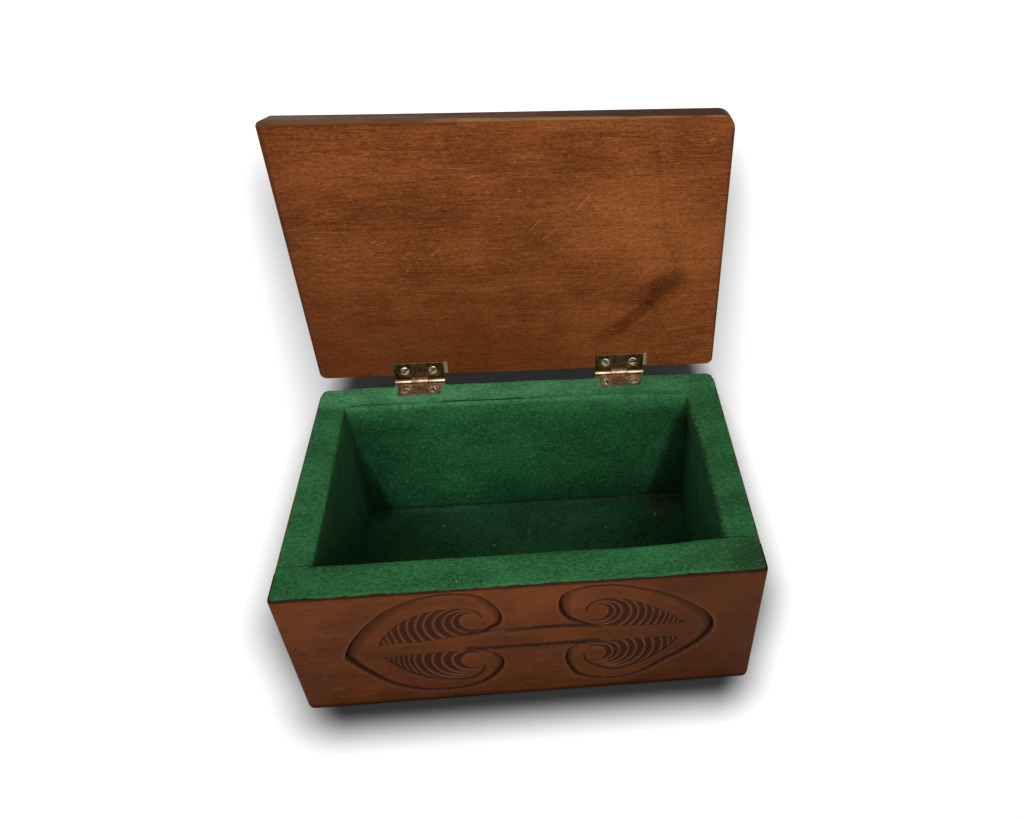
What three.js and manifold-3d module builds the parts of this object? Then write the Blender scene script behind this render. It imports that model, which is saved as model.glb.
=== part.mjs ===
import * as THREE from 'three';
import { mergeVertices } from 'three/addons/utils/BufferGeometryUtils.js';
import Module from 'manifold-3d';

const wasm = await Module();
wasm.setup();

// A carved wooden box with a hinged lid, lined with felt.
// Millimetres: X runs to the right, Y to the back and Z up. The origin is on the ground,
// under the middle of the body.

// Body
const boxWidth = 200;
const boxDepth = 130;
const wallHeight = 79.5;
const frontWall = 14;
const sideWall = 13.7;
const backWall = 14.5;
const bottomThick = 6;
const frontCornerRadius = 1.2;
const backCornerRadius = 5;
const lowerSideRound = 4.5;
const lowerFrontRound = 2.5;
const upperArris = 0.5;

// Lid
const lidThick = 10;
const lidFrontLeftRadius = 2.6;
const lidFrontRightRadius = 6.5;
const lidBackCornerRadius = 3.2;
const lidUpperRound = 1.2;
const lidArris = 0.6;
const lidClosedGap = 0.3;
const lidOpenAngle = 92.3;

// Felt lining: four folded strips and a floor piece
const feltThick = 1.5;
const feltInset = 0.7;
const feltFoldRadius = 1.2;

// Hinges: two butt hinges, each with two leaves and a loose pin
const hingeInset = 49;
const hingeLength = 25;
const leafThick = 1;
const leafReach = 10.7;
const leafCornerRadius = 0.8;
const knuckleRadius = 1.5;
const knuckleGap = 0.2;
const pinRadius = 0.6;
const pinClearance = 0.08;
const pinStandOff = 3.4;
const mortiseSlack = 0.3;
const mortiseOverrun = 2;

// Countersunk wood screws, two in each leaf
const screwEndInset = 5.5;
const screwPitch = hingeLength - 2 * screwEndInset;
const rimScrewLine = 7.1;
const lidScrewLine = 6;
const screwHeadRadius = 2.2;
const screwHeadDrop = 1.1;
const screwCrown = 0.25;
const screwShankRadius = 1.1;
const screwTipRadius = 0.4;
const rimScrewLength = 10;
const lidScrewLength = 8;
const screwSlack = 0.12;

// Glued faces stand this far apart
const glueGap = 0.05;

// Carving: a cut's depth follows its width
const cutStart = 0.4;
const cutSlope = 0.34;
const cutProud = 0.6;

const woodTop = wallHeight;
const feltTop = woodTop + feltThick;
const lidUnderside = feltTop + lidClosedGap;
const frontFace = -boxDepth / 2;
const backFace = boxDepth / 2;
const sideFace = boxWidth / 2;
const floorTop = bottomThick + glueGap + feltThick;
const rimLeafTop = woodTop + glueGap + leafThick;
const pinY = backFace + pinStandOff;
const pinZ = (rimLeafTop + lidUnderside) / 2;
const leafFreeEdge = pinY - leafReach;

// The four parts of the carving, in the front face's own X and Z.
// Each row of a line is x, z and the width of the cut there. The upright wall of the cut
// stands on the line and its bevel rises towards the heart.
const motifs = [
  {
    heart: [-42, 43],
    line: [
      [-15.5, 51.4, 3], [-10.9, 55.4, 3.2], [-10.1, 61, 3.8], [-12.6, 68.2, 4],
      [-18, 74.6, 3], [-26.5, 77.4, 1.8], [-36, 77.5, 1.8], [-46.5, 74.6, 3.4],
      [-56.5, 69.2, 5.2], [-66, 59.8, 6], [-73, 50, 5.6], [-76.9, 41.5, 5.4],
      [-77.7, 37.6, 5.6], [-76, 34, 5], [-70.5, 26, 4], [-62, 16, 3.6],
      [-54, 10.8, 3.2], [-44, 8.4, 2.4], [-33, 8.4, 2.4], [-24, 10.4, 2.6],
      [-17, 15, 3.6], [-12.2, 22, 4.2], [-11.3, 29, 3.8], [-14, 34.6, 2.8], [-18.5, 37, 2],
    ],
  },
  {
    heart: [44, 43],
    line: [
      [21.8, 51.8, 2.4], [16.6, 55.4, 3.4], [13.9, 61, 4.6], [13.6, 66.5, 5.4],
      [15.4, 72.4, 5.2], [20.5, 75.4, 3], [28, 76.9, 1.7], [38, 76.5, 1.7],
      [48, 73.4, 2.4], [58, 69.2, 3.6], [68, 62.2, 4.4], [76, 54.6, 5.4],
      [79.9, 47.5, 5.8], [80, 40, 5.4], [76, 32.4, 4.4], [67.5, 24, 3.8],
      [59.5, 18.4, 3.2], [51.5, 12, 2.8], [43, 8.6, 1.9], [34, 7.9, 1.7],
      [25.5, 9.8, 2.4], [19.6, 13.4, 3.2], [16.4, 20.5, 3.4], [15.4, 27.5, 3.6],
      [17, 33.8, 2.8], [21, 37.2, 2],
    ],
  },
];

// The stem's two edges, whose bevels rise to the stem between them.
const stemEdges = [
  { heart: [0, -2000], line: [[-28, 50.6, 1], [-18, 51, 2.2], [5, 52, 2.6], [18, 51.7, 2.4], [31, 50.2, 1]] },
  { heart: [0, 2000], line: [[-26, 37.6, 1], [-12, 36.9, 2.2], [6, 36.8, 2.4], [20, 37, 2.2], [34, 37.4, 1]] },
];

// Four leaves. A leaf's curl line runs from its tip over its back and hooks round a round boss,
// its stem line is its other side, and the crests of its notches lie at these steps from the boss.
const leaves = [
  {
    boss: [-22.1, 58], bossRadius: 5.4, heart: [-38, 55],
    curl: [
      [-62.4, 45.8, 0.8], [-60.4, 50.6, 1.3], [-53, 59, 1.5], [-44.4, 64.9, 1.6],
      [-34, 67.6, 1.6], [-25, 67.3, 1.6], [-19.8, 64.6, 1.3], [-18.1, 61, 0.7],
    ],
    stem: [[-62, 45.8], [-41, 46.6], [-29, 48.4], [-20, 49.6]],
    steps: [3.4, 3.7, 4.2, 4.2, 3.4, 3.6, 3.6, 3, 2.7],
  },
  {
    boss: [-24, 29.7], bossRadius: 5.2, heart: [-38, 30],
    curl: [
      [-62.2, 37.6, 0.8], [-57.6, 30.4, 1.3], [-50.3, 22.4, 1.5], [-41, 17.4, 1.6],
      [-31, 15.4, 1.6], [-24.4, 17.2, 1.6], [-20.4, 21.4, 1.3], [-19.4, 25.6, 0.7],
    ],
    stem: [[-62, 37.5], [-44, 37.8], [-30, 38.2], [-20, 37.4]],
    steps: [4.4, 4.4, 4.1, 4, 3.6, 2.3, 2.2, 2.1, 2],
  },
  {
    boss: [29, 58.7], bossRadius: 5, heart: [44, 56],
    curl: [
      [67.4, 47.4, 0.8], [60, 55, 1.3], [50.5, 61.6, 1.5], [42, 66.2, 1.6],
      [34.5, 68, 1.6], [28, 66.4, 1.6], [25.1, 63, 1.3], [24.5, 60.2, 0.7],
    ],
    stem: [[67, 47.2], [52, 46.8], [38, 48], [28, 49.4]],
    steps: [3.1, 2.8, 4.4, 3, 3.4, 3, 3.1, 2.6, 2.2, 2.2],
  },
  {
    boss: [28.3, 28.8], bossRadius: 4.8, heart: [43, 30],
    curl: [
      [65.6, 37.6, 0.8], [61.6, 30.2, 1.3], [54, 22.6, 1.5], [44.6, 16.4, 1.6],
      [37, 14.8, 1.6], [29.2, 18.6, 1.6], [24.2, 23.6, 1.3], [23.2, 28.4, 0.7],
    ],
    stem: [[65, 37.8], [48, 38.4], [36, 38.2], [26, 37.4]],
    steps: [3.4, 2.9, 4.1, 3.4, 4, 3.8, 3.8, 2.9, 2.4],
  },
];
const notchDepth = 1;
const notchEndDepth = 0.45;
const notchOverlap = 0.12;

// Mesh helpers

function toSolid(geometry) {
  geometry.deleteAttribute('normal');
  geometry.deleteAttribute('uv');
  const merged = mergeVertices(geometry, 1e-4);
  return new wasm.Manifold(new wasm.Mesh({
    numProp: 3,
    vertProperties: new Float32Array(merged.attributes.position.array),
    triVerts: new Uint32Array(merged.index.array),
  }));
}

function toGeometry(solid) {
  const mesh = solid.getMesh();
  const geometry = new THREE.BufferGeometry();
  geometry.setAttribute('position', new THREE.BufferAttribute(new Float32Array(mesh.vertProperties), 3));
  geometry.setIndex(new THREE.BufferAttribute(new Uint32Array(mesh.triVerts), 1));
  geometry.computeVertexNormals();
  return geometry;
}

function block(x0, x1, y0, y1, z0, z1) {
  const geometry = new THREE.BoxGeometry(x1 - x0, y1 - y0, z1 - z0);
  geometry.translate((x0 + x1) / 2, (y0 + y1) / 2, (z0 + z1) / 2);
  return toSolid(geometry);
}

// A closed solid through convex rings that have equally many points.
function loft(rings) {
  const count = rings[0].length;
  const points = rings.flat();
  const index = [];
  for (let ring = 0; ring + 1 < rings.length; ring++) {
    for (let i = 0; i < count; i++) {
      const a = ring * count + i;
      const b = ring * count + (i + 1) % count;
      index.push(a, b, b + count, a, b + count, a + count);
    }
  }
  const last = (rings.length - 1) * count;
  for (let i = 1; i + 1 < count; i++) {
    index.push(0, i + 1, i, last, last + i, last + i + 1);
  }
  let volume = 0;
  for (let i = 0; i < index.length; i += 3) {
    const [p, q, r] = [points[index[i]], points[index[i + 1]], points[index[i + 2]]];
    volume += p.dot(q.clone().cross(r));
  }
  if (volume < 0) index.reverse();
  const geometry = new THREE.BufferGeometry().setFromPoints(points);
  geometry.setIndex(index);
  return toSolid(geometry);
}

// Points round a rectangle whose corners are rounded, front corners first. The front radii are
// those of its left and right corners.
function roundedRectangle(halfWidth, y0, y1, frontRadii, backRadius, z) {
  const corners = [
    [-halfWidth, y0, frontRadii[0], 180],
    [halfWidth, y0, frontRadii[1], 270],
    [halfWidth, y1, backRadius, 0],
    [-halfWidth, y1, backRadius, 90],
  ];
  const steps = 6;
  const points = [];
  for (const [x, y, radius, start] of corners) {
    const cx = x - Math.sign(x) * radius;
    const cy = y === y0 ? y + radius : y - radius;
    for (let i = 0; i <= steps; i++) {
      const angle = THREE.MathUtils.degToRad(start + 90 * i / steps);
      points.push(new THREE.Vector3(cx + radius * Math.cos(angle), cy + radius * Math.sin(angle), z));
    }
  }
  return points;
}

// How far a quarter round of this radius stands in at a height above its foot.
function roundInset(radius, height) {
  if (height >= radius) return 0;
  return radius - Math.sqrt(radius ** 2 - (radius - height) ** 2);
}

// Wooden body

// The outside of the body, rounded after its boards are glued up.
function bodyForm() {
  const heights = [0, 0.5, 1.4, lowerFrontRound, lowerSideRound, woodTop - upperArris, woodTop];
  return loft(heights.map((z) => {
    const insetX = roundInset(lowerSideRound, z) + roundInset(upperArris, woodTop - z);
    const insetY = roundInset(lowerFrontRound, z) + roundInset(upperArris, woodTop - z);
    return roundedRectangle(
      sideFace - insetX, frontFace + insetY, backFace - insetY,
      [frontCornerRadius, frontCornerRadius], backCornerRadius, z);
  }));
}

function bottomBoard() {
  const half = sideFace - sideWall - glueGap;
  const front = frontFace + frontWall + glueGap;
  const back = backFace - backWall - glueGap;
  return block(-half, half, front, back, 0, bottomThick);
}

// A side board runs from the front board to the back of the box.
function sideBoard(side) {
  const inner = side * (sideFace - sideWall);
  const outer = side * (sideFace + 1);
  const slab = block(
    Math.min(inner, outer), Math.max(inner, outer), frontFace + frontWall + glueGap, backFace + 1, -1, woodTop + 1);
  return bodyForm().intersect(slab);
}

function backBoard() {
  const half = sideFace - sideWall - glueGap;
  let board = bodyForm().intersect(block(-half, half, backFace - backWall, backFace + 1, -1, woodTop + 1));
  for (const x of screwPlaces()) board = board.subtract(pilotHole(x, pinY - rimScrewLine));
  return board;
}

// Carving

// A tool for one cut: upright along its line, and bevelled up towards the heart.
function bevelTool(line, heart, samples) {
  const curve = new THREE.CatmullRomCurve3(line.map(([x, z, width]) => new THREE.Vector3(x, width, z)));
  const rings = curve.getPoints(samples).map((p) => {
    const width = p.y;
    const depth = cutStart + cutSlope * width;
    const inward = new THREE.Vector2(heart[0] - p.x, heart[1] - p.z).normalize();
    const reach = width * (depth + cutProud) / depth;
    return [
      new THREE.Vector3(p.x, frontFace - cutProud, p.z),
      new THREE.Vector3(p.x, frontFace + depth, p.z),
      new THREE.Vector3(p.x + inward.x * reach, frontFace - cutProud, p.z + inward.y * reach),
    ];
  });
  return loft(rings);
}

function insideOutline(outline, x, z) {
  let inside = false;
  for (let i = 0, j = outline.length - 1; i < outline.length; j = i++) {
    const a = outline[i];
    const b = outline[j];
    const crosses = (a.y > z) !== (b.y > z);
    if (crosses && x < (b.x - a.x) * (z - a.y) / (b.y - a.y) + a.x) inside = !inside;
  }
  return inside;
}

// The circle on which a crest lies. All of a leaf's circles touch at the far side of its boss.
function crestCircle(leaf, step) {
  const boss = new THREE.Vector2(...leaf.boss);
  const tip = new THREE.Vector2(leaf.curl[0][0], leaf.curl[0][1]);
  const along = tip.sub(boss).normalize();
  return {
    centre: boss.clone().addScaledVector(along, step / 2),
    radius: leaf.bossRadius + step / 2,
    angle: Math.atan2(along.y, along.x),
  };
}

// One notch between two crests: a V-shaped scoop that follows them through the leaf.
function notchTool(leaf, outline, from, to) {
  const middle = crestCircle(leaf, (from + to) / 2);
  const spread = THREE.MathUtils.degToRad(110);
  const fineness = 80;
  const kept = [];
  for (let i = -fineness; i <= fineness; i++) {
    const angle = middle.angle + spread * i / fineness;
    const x = middle.centre.x + middle.radius * Math.cos(angle);
    const z = middle.centre.y + middle.radius * Math.sin(angle);
    if (insideOutline(outline, x, z)) kept.push(angle);
  }
  const first = kept[0];
  const last = kept[kept.length - 1];
  const stations = 7;
  const rings = [];
  for (let i = 0; i < stations; i++) {
    const share = i / (stations - 1);
    const angle = first + (last - first) * share;
    const depth = notchEndDepth + (notchDepth - notchEndDepth) * Math.sin(Math.PI * share);
    const half = (to - from) / 2 * (1 + notchOverlap) * (depth + cutProud) / depth;
    const at = (radius, y) => new THREE.Vector3(
      middle.centre.x + radius * Math.cos(angle), y, middle.centre.y + radius * Math.sin(angle));
    rings.push([
      at(middle.radius - half, frontFace - cutProud),
      at(middle.radius, frontFace + depth),
      at(middle.radius + half, frontFace - cutProud),
    ]);
  }
  return loft(rings);
}

function leafOutline(leaf) {
  const curl = new THREE.CatmullRomCurve3(leaf.curl.map(([x, z]) => new THREE.Vector3(x, 0, z)));
  const stem = new THREE.CatmullRomCurve3(leaf.stem.map(([x, z]) => new THREE.Vector3(x, 0, z)));
  const points = [...curl.getPoints(40), ...stem.getPoints(20).reverse()];
  return points.map((p) => new THREE.Vector2(p.x, p.z));
}

function frontBoard() {
  let board = bodyForm().intersect(
    block(-sideFace - 1, sideFace + 1, frontFace - 1, frontFace + frontWall, -1, woodTop + 1));
  for (const { line, heart } of motifs) board = board.subtract(bevelTool(line, heart, 72));
  for (const { line, heart } of stemEdges) board = board.subtract(bevelTool(line, heart, 12));
  for (const leaf of leaves) {
    board = board.subtract(bevelTool(leaf.curl, leaf.heart, 24));
    const outline = leafOutline(leaf);
    let from = 0;
    for (const step of leaf.steps) {
      board = board.subtract(notchTool(leaf, outline, from, from + step));
      from += step;
    }
  }
  return board;
}

// Felt

// The outside of the rim's felt, which stops short of the wood's edges.
function feltForm() {
  return loft([floorTop, feltTop].map((z) => roundedRectangle(
    sideFace - feltInset, frontFace + feltInset, backFace - feltInset,
    [frontCornerRadius, frontCornerRadius], backCornerRadius - feltInset, z)));
}

// A strip's section: over the rim, round the inner edge and down the wall.
// It is drawn with the wall's outer face at zero and the inside of the box at plus.
function feltSection(wall, withLining) {
  const inner = wall + glueGap + feltThick;
  const section = new THREE.Shape();
  section.moveTo(0, woodTop + glueGap);
  section.lineTo(0, feltTop);
  section.lineTo(inner - feltFoldRadius, feltTop);
  section.absarc(inner - feltFoldRadius, feltTop - feltFoldRadius, feltFoldRadius, Math.PI / 2, 0, true);
  if (withLining) {
    section.lineTo(inner, floorTop + glueGap);
    section.lineTo(wall + glueGap, floorTop + glueGap);
    section.lineTo(wall + glueGap, woodTop + glueGap);
  } else {
    section.lineTo(inner, woodTop + glueGap);
  }
  return section;
}

// The section is carried along a wall, between two places on the wall's length.
function feltRun(wall, withLining, from, to, turn, offset) {
  const geometry = new THREE.ExtrudeGeometry(
    feltSection(wall, withLining), { depth: to - from, bevelEnabled: false, curveSegments: 4 });
  geometry.translate(0, 0, from);
  geometry.rotateX(Math.PI / 2);
  geometry.rotateZ(turn);
  geometry.translate(...offset);
  return toSolid(geometry);
}

const liningInnerX = sideFace - sideWall - glueGap - feltThick;
const liningInnerFront = frontFace + frontWall + glueGap + feltThick;
const boardInnerX = sideFace - sideWall - glueGap;
const boardInnerBack = backFace - backWall - glueGap;

function frontFelt() {
  const turn = Math.PI / 2;
  const offset = [0, frontFace, 0];
  const lined = feltRun(frontWall, true, -boardInnerX, boardInnerX, turn, offset);
  const rim = feltRun(frontWall, false, -sideFace, sideFace, turn, offset);
  return lined.add(rim).intersect(feltForm());
}

function sideFelt(side) {
  const turn = side < 0 ? 0 : Math.PI;
  const offset = [side * sideFace, 0, 0];
  const front = liningInnerFront + glueGap;
  const run = (withLining, y0, y1) => {
    const [from, to] = side < 0 ? [-y1, -y0] : [y0, y1];
    return feltRun(sideWall, withLining, from, to, turn, offset);
  };
  return run(true, front, boardInnerBack).add(run(false, front, backFace)).intersect(feltForm());
}

function backFelt() {
  const half = liningInnerX - glueGap;
  let felt = feltRun(backWall, true, -half, half, -Math.PI / 2, [0, backFace, 0]).intersect(feltForm());
  for (const x of hingePlaces) {
    felt = felt.subtract(block(
      x - hingeLength / 2 - mortiseSlack, x + hingeLength / 2 + mortiseSlack,
      leafFreeEdge - mortiseSlack, backFace + 1, woodTop - 1, feltTop + 1));
  }
  return felt;
}

function floorFelt() {
  const front = frontFace + frontWall + glueGap;
  return block(-boardInnerX, boardInnerX, front, boardInnerBack, bottomThick + glueGap, floorTop);
}

// Hinges

const hingePlaces = [hingeInset - sideFace, sideFace - hingeInset];

function screwPlaces() {
  return hingePlaces.flatMap((x) => [x - screwPitch / 2, x + screwPitch / 2]);
}

function cylinderAlongX(radius, x0, x1, y, z) {
  const geometry = new THREE.CylinderGeometry(radius, radius, x1 - x0, 24);
  geometry.rotateZ(Math.PI / 2);
  geometry.translate((x0 + x1) / 2, y, z);
  return toSolid(geometry);
}

// A leaf with its knuckles, for the rim where side is -1 and for the lid where it is 1.
// The rim's leaf has the middle knuckle and the lid's leaf has the outer two.
function hingeLeaf(x, side, screwLine) {
  const half = hingeLength / 2;
  const third = hingeLength / 3;
  const near = side * (lidUnderside - rimLeafTop) / 2;
  const far = near + side * leafThick;
  const [z0, z1] = [pinZ + Math.min(near, far), pinZ + Math.max(near, far)];
  const outline = new THREE.Shape();
  const plateEnd = pinY - knuckleRadius - knuckleGap;
  outline.moveTo(x - half, plateEnd);
  outline.lineTo(x - half, leafFreeEdge + leafCornerRadius);
  outline.absarc(x - half + leafCornerRadius, leafFreeEdge + leafCornerRadius, leafCornerRadius,
    Math.PI, 1.5 * Math.PI);
  outline.absarc(x + half - leafCornerRadius, leafFreeEdge + leafCornerRadius, leafCornerRadius,
    1.5 * Math.PI, 2 * Math.PI);
  outline.lineTo(x + half, plateEnd);
  const plate = new THREE.ExtrudeGeometry(outline, { depth: z1 - z0, bevelEnabled: false, curveSegments: 4 });
  plate.translate(0, 0, z0);
  let leaf = toSolid(plate);
  const knuckles = side < 0
    ? [[x - third / 2 + knuckleGap / 2, x + third / 2 - knuckleGap / 2]]
    : [[x - half, x - third / 2 - knuckleGap / 2], [x + third / 2 + knuckleGap / 2, x + half]];
  for (const [x0, x1] of knuckles) {
    leaf = leaf.add(block(x0, x1, plateEnd - 1, pinY, z0, z1));
    leaf = leaf.add(cylinderAlongX(knuckleRadius, x0, x1, pinY, pinZ));
  }
  leaf = leaf.subtract(cylinderAlongX(pinRadius + pinClearance, x - half - 1, x + half + 1, pinY, pinZ));
  for (const place of [x - screwPitch / 2, x + screwPitch / 2]) {
    leaf = leaf.subtract(screwForm(place, pinY - screwLine, side, rimScrewLength, screwSlack));
  }
  return leaf;
}

function hingePin(x) {
  return cylinderAlongX(pinRadius, x - hingeLength / 2, x + hingeLength / 2, pinY, pinZ);
}

// A screw's form, grown by a slack where it cuts its own hole. Its head is flush with the leaf,
// and it points down into the rim where side is -1 and up into the lid where it is 1.
function screwForm(x, y, side, length, slack) {
  const profile = [
    [0, screwCrown + slack],
    [screwHeadRadius * 0.6, screwCrown * 0.7 + slack],
    [screwHeadRadius + slack, slack],
    [screwHeadRadius + slack, -0.1],
    [screwShankRadius + slack, -screwHeadDrop],
    [screwShankRadius + slack, -length * 0.6],
    [screwTipRadius + slack, -length - slack],
    [0, -length - slack],
  ];
  const geometry = new THREE.LatheGeometry(profile.reverse().map(([r, h]) => new THREE.Vector2(r, h)), 16);
  geometry.rotateX(side < 0 ? Math.PI / 2 : -Math.PI / 2);
  geometry.translate(x, y, side < 0 ? rimLeafTop : lidUnderside);
  return toSolid(geometry);
}

function pilotHole(x, y) {
  return screwForm(x, y, -1, rimScrewLength, screwSlack);
}

// Lid, built shut

function lidForm() {
  const heights = [
    0, lidArris, lidThick - lidUpperRound, lidThick - 0.5 * lidUpperRound,
    lidThick - 0.15 * lidUpperRound, lidThick,
  ];
  return loft(heights.map((height) => {
    const inset = roundInset(lidArris, height) + roundInset(lidUpperRound, lidThick - height);
    return roundedRectangle(
      sideFace - inset, frontFace + inset, backFace - inset,
      [lidFrontLeftRadius, lidFrontRightRadius], lidBackCornerRadius, lidUnderside + height);
  }));
}

function lidBoard() {
  let board = lidForm();
  for (const x of hingePlaces) {
    board = board.subtract(block(
      x - hingeLength / 2 - mortiseSlack, x + hingeLength / 2 + mortiseOverrun,
      leafFreeEdge - mortiseSlack, backFace + 1,
      lidUnderside - 1, lidUnderside + leafThick + mortiseSlack));
  }
  for (const x of screwPlaces()) {
    board = board.subtract(screwForm(x, pinY - lidScrewLine, 1, lidScrewLength, screwSlack));
  }
  return board;
}

// Assembly

const finishes = {
  wood: { color: 0x6f3f27, roughness: 0.45, metalness: 0 },
  lidWood: { color: 0x83491f, roughness: 0.5, metalness: 0 },
  felt: { color: 0x2a6a38, roughness: 1, metalness: 0 },
  rimBrass: { color: 0x9a6b50, roughness: 0.4, metalness: 0.9 },
  lidBrass: { color: 0x4f3a20, roughness: 0.5, metalness: 0.9 },
  pinBrass: { color: 0xa08a60, roughness: 0.35, metalness: 1 },
  screwBrass: { color: 0xb9a685, roughness: 0.3, metalness: 1 },
};

const box = new THREE.Group();
box.name = 'carved_wooden_box';

function addPiece(group, name, solid, finish) {
  const geometry = toGeometry(solid);
  geometry.translate(-group.position.x, -group.position.y, -group.position.z);
  const mesh = new THREE.Mesh(geometry, new THREE.MeshStandardMaterial(finishes[finish]));
  mesh.name = name;
  group.add(mesh);
}

addPiece(box, 'front_board', frontBoard(), 'wood');
addPiece(box, 'back_board', backBoard(), 'wood');
addPiece(box, 'left_board', sideBoard(-1), 'wood');
addPiece(box, 'right_board', sideBoard(1), 'wood');
addPiece(box, 'bottom_board', bottomBoard(), 'wood');
addPiece(box, 'front_felt', frontFelt(), 'felt');
addPiece(box, 'back_felt', backFelt(), 'felt');
addPiece(box, 'left_felt', sideFelt(-1), 'felt');
addPiece(box, 'right_felt', sideFelt(1), 'felt');
addPiece(box, 'floor_felt', floorFelt(), 'felt');

// The lid turns about the pins, and stands open as a lid is left.
const lid = new THREE.Group();
lid.name = 'lid';
lid.position.set(0, pinY, pinZ);
lid.rotation.x = THREE.MathUtils.degToRad(-lidOpenAngle);
box.add(lid);
addPiece(lid, 'lid_board', lidBoard(), 'lidWood');

for (const [hand, x] of [['left', hingePlaces[0]], ['right', hingePlaces[1]]]) {
  addPiece(box, `${hand}_hinge_rim_leaf`, hingeLeaf(x, -1, rimScrewLine), 'rimBrass');
  addPiece(lid, `${hand}_hinge_lid_leaf`, hingeLeaf(x, 1, lidScrewLine), 'lidBrass');
  addPiece(box, `${hand}_hinge_pin`, hingePin(x), 'pinBrass');
  for (const [place, offset] of [['outer', -1], ['inner', 1]]) {
    const screwX = x + (hand === 'left' ? offset : -offset) * screwPitch / 2;
    addPiece(box, `${hand}_rim_screw_${place}`,
      screwForm(screwX, pinY - rimScrewLine, -1, rimScrewLength, 0), 'screwBrass');
    addPiece(lid, `${hand}_lid_screw_${place}`,
      screwForm(screwX, pinY - lidScrewLine, 1, lidScrewLength, 0), 'screwBrass');
  }
}

export default box;
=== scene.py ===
import math

import bmesh
import bpy
import numpy as np
from mathutils import Matrix, Quaternion, Vector


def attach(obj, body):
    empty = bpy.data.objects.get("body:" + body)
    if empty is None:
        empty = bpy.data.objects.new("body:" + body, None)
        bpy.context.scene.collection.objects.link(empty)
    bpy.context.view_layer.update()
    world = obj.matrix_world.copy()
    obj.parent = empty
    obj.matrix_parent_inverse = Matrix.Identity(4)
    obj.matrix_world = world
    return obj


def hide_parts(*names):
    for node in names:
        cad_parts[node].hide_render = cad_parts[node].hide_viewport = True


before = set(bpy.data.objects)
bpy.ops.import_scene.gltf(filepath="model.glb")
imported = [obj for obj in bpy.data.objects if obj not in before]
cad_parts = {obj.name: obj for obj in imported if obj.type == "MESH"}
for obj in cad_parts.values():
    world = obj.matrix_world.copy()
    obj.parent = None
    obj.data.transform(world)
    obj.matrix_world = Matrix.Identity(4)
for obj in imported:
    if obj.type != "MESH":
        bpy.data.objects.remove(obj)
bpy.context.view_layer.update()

# Camera. It stands in front of the box and looks down into it, turned a little to the right.
# The lens's axis meets the picture right of its middle, which the sideways shift gives.
mm = 0.001
camera_place = (12.57 * mm, -280.3 * mm, 357.03 * mm)
camera_yaw, camera_pitch, camera_roll = (math.radians(angle) for angle in (6.53, -40.73, 1.49))
looks_along = Vector((
    math.sin(camera_yaw) * math.cos(camera_pitch),
    math.cos(camera_yaw) * math.cos(camera_pitch),
    math.sin(camera_pitch)))
camera_lens = bpy.data.cameras.new("camera")
camera_lens.sensor_width = 36
camera_lens.lens = 30.06
camera_lens.shift_x = -0.1063
camera = bpy.data.objects.new("camera", camera_lens)
camera.location = camera_place
camera.rotation_mode = "QUATERNION"
camera.rotation_quaternion = looks_along.to_track_quat("-Z", "Y") @ Quaternion((0, 0, 1), camera_roll)
bpy.context.scene.collection.objects.link(camera)
bpy.context.scene.camera = camera
bpy.context.scene.view_settings.view_transform = "Standard"


# Floor and light. A plain pale floor that keeps its shade close to the box, an even white
# surround and one soft lamp in front, about as high as the camera.
def add_node(tree, kind, inputs=None, **settings):
    """A shader node with its settings, and its inputs joined or filled."""
    node = tree.nodes.new(kind)
    for setting, value in settings.items():
        setattr(node, setting, value)
    for socket, value in (inputs or {}).items():
        if isinstance(value, bpy.types.NodeSocket):
            tree.links.new(value, node.inputs[socket])
        else:
            node.inputs[socket].default_value = value
    return node


def tree_of(values):
    """The node tree that the first socket among the values lies in."""
    return next(value.id_data for value in values if isinstance(value, bpy.types.NodeSocket))


def maths(operation, *values, clamp=False):
    """One step of arithmetic with sockets and numbers."""
    node = add_node(
        tree_of(values), "ShaderNodeMath", dict(enumerate(values)), operation=operation, use_clamp=clamp)
    return node.outputs[0]


def times(first, *others):
    """The product of sockets and numbers."""
    for other in others:
        first = maths("MULTIPLY", first, other)
    return first


def grade(value, low, high, out_low=0.0, out_high=1.0, way="SMOOTHSTEP"):
    """Runs from out_low to out_high as the value goes from low to high."""
    node = add_node(value.id_data, "ShaderNodeMapRange", {
        "Value": value, "From Min": low, "From Max": high, "To Min": out_low, "To Max": out_high},
        interpolation_type=way)
    return node.outputs[0]


def axes(vector):
    """The vector's X, Y and Z."""
    return add_node(vector.id_data, "ShaderNodeSeparateXYZ", {0: vector}).outputs


def start_material(name):
    """An empty material, its node tree, and the place of each point on the piece."""
    material = bpy.data.materials.new(name)
    material.use_nodes = True
    tree = material.node_tree
    tree.nodes.clear()
    place = add_node(tree, "ShaderNodeTexCoord").outputs["Object"]
    return {"material": material, "tree": tree, "place": place}


def seen_directly(tree):
    """One for the camera, for reflections and for what is seen through something clear."""
    rays = add_node(tree, "ShaderNodeLightPath").outputs
    seen = maths("MAXIMUM", rays["Is Camera Ray"], rays["Is Glossy Ray"])
    return maths("MAXIMUM", seen, rays["Is Transmission Ray"])


bpy.ops.mesh.primitive_plane_add(size=8)
floor = bpy.context.object
floor.name = "floor"
floor_paint = start_material("pale_floor")
tree = floor_paint["tree"]
spot = axes(floor_paint["place"])

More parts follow.
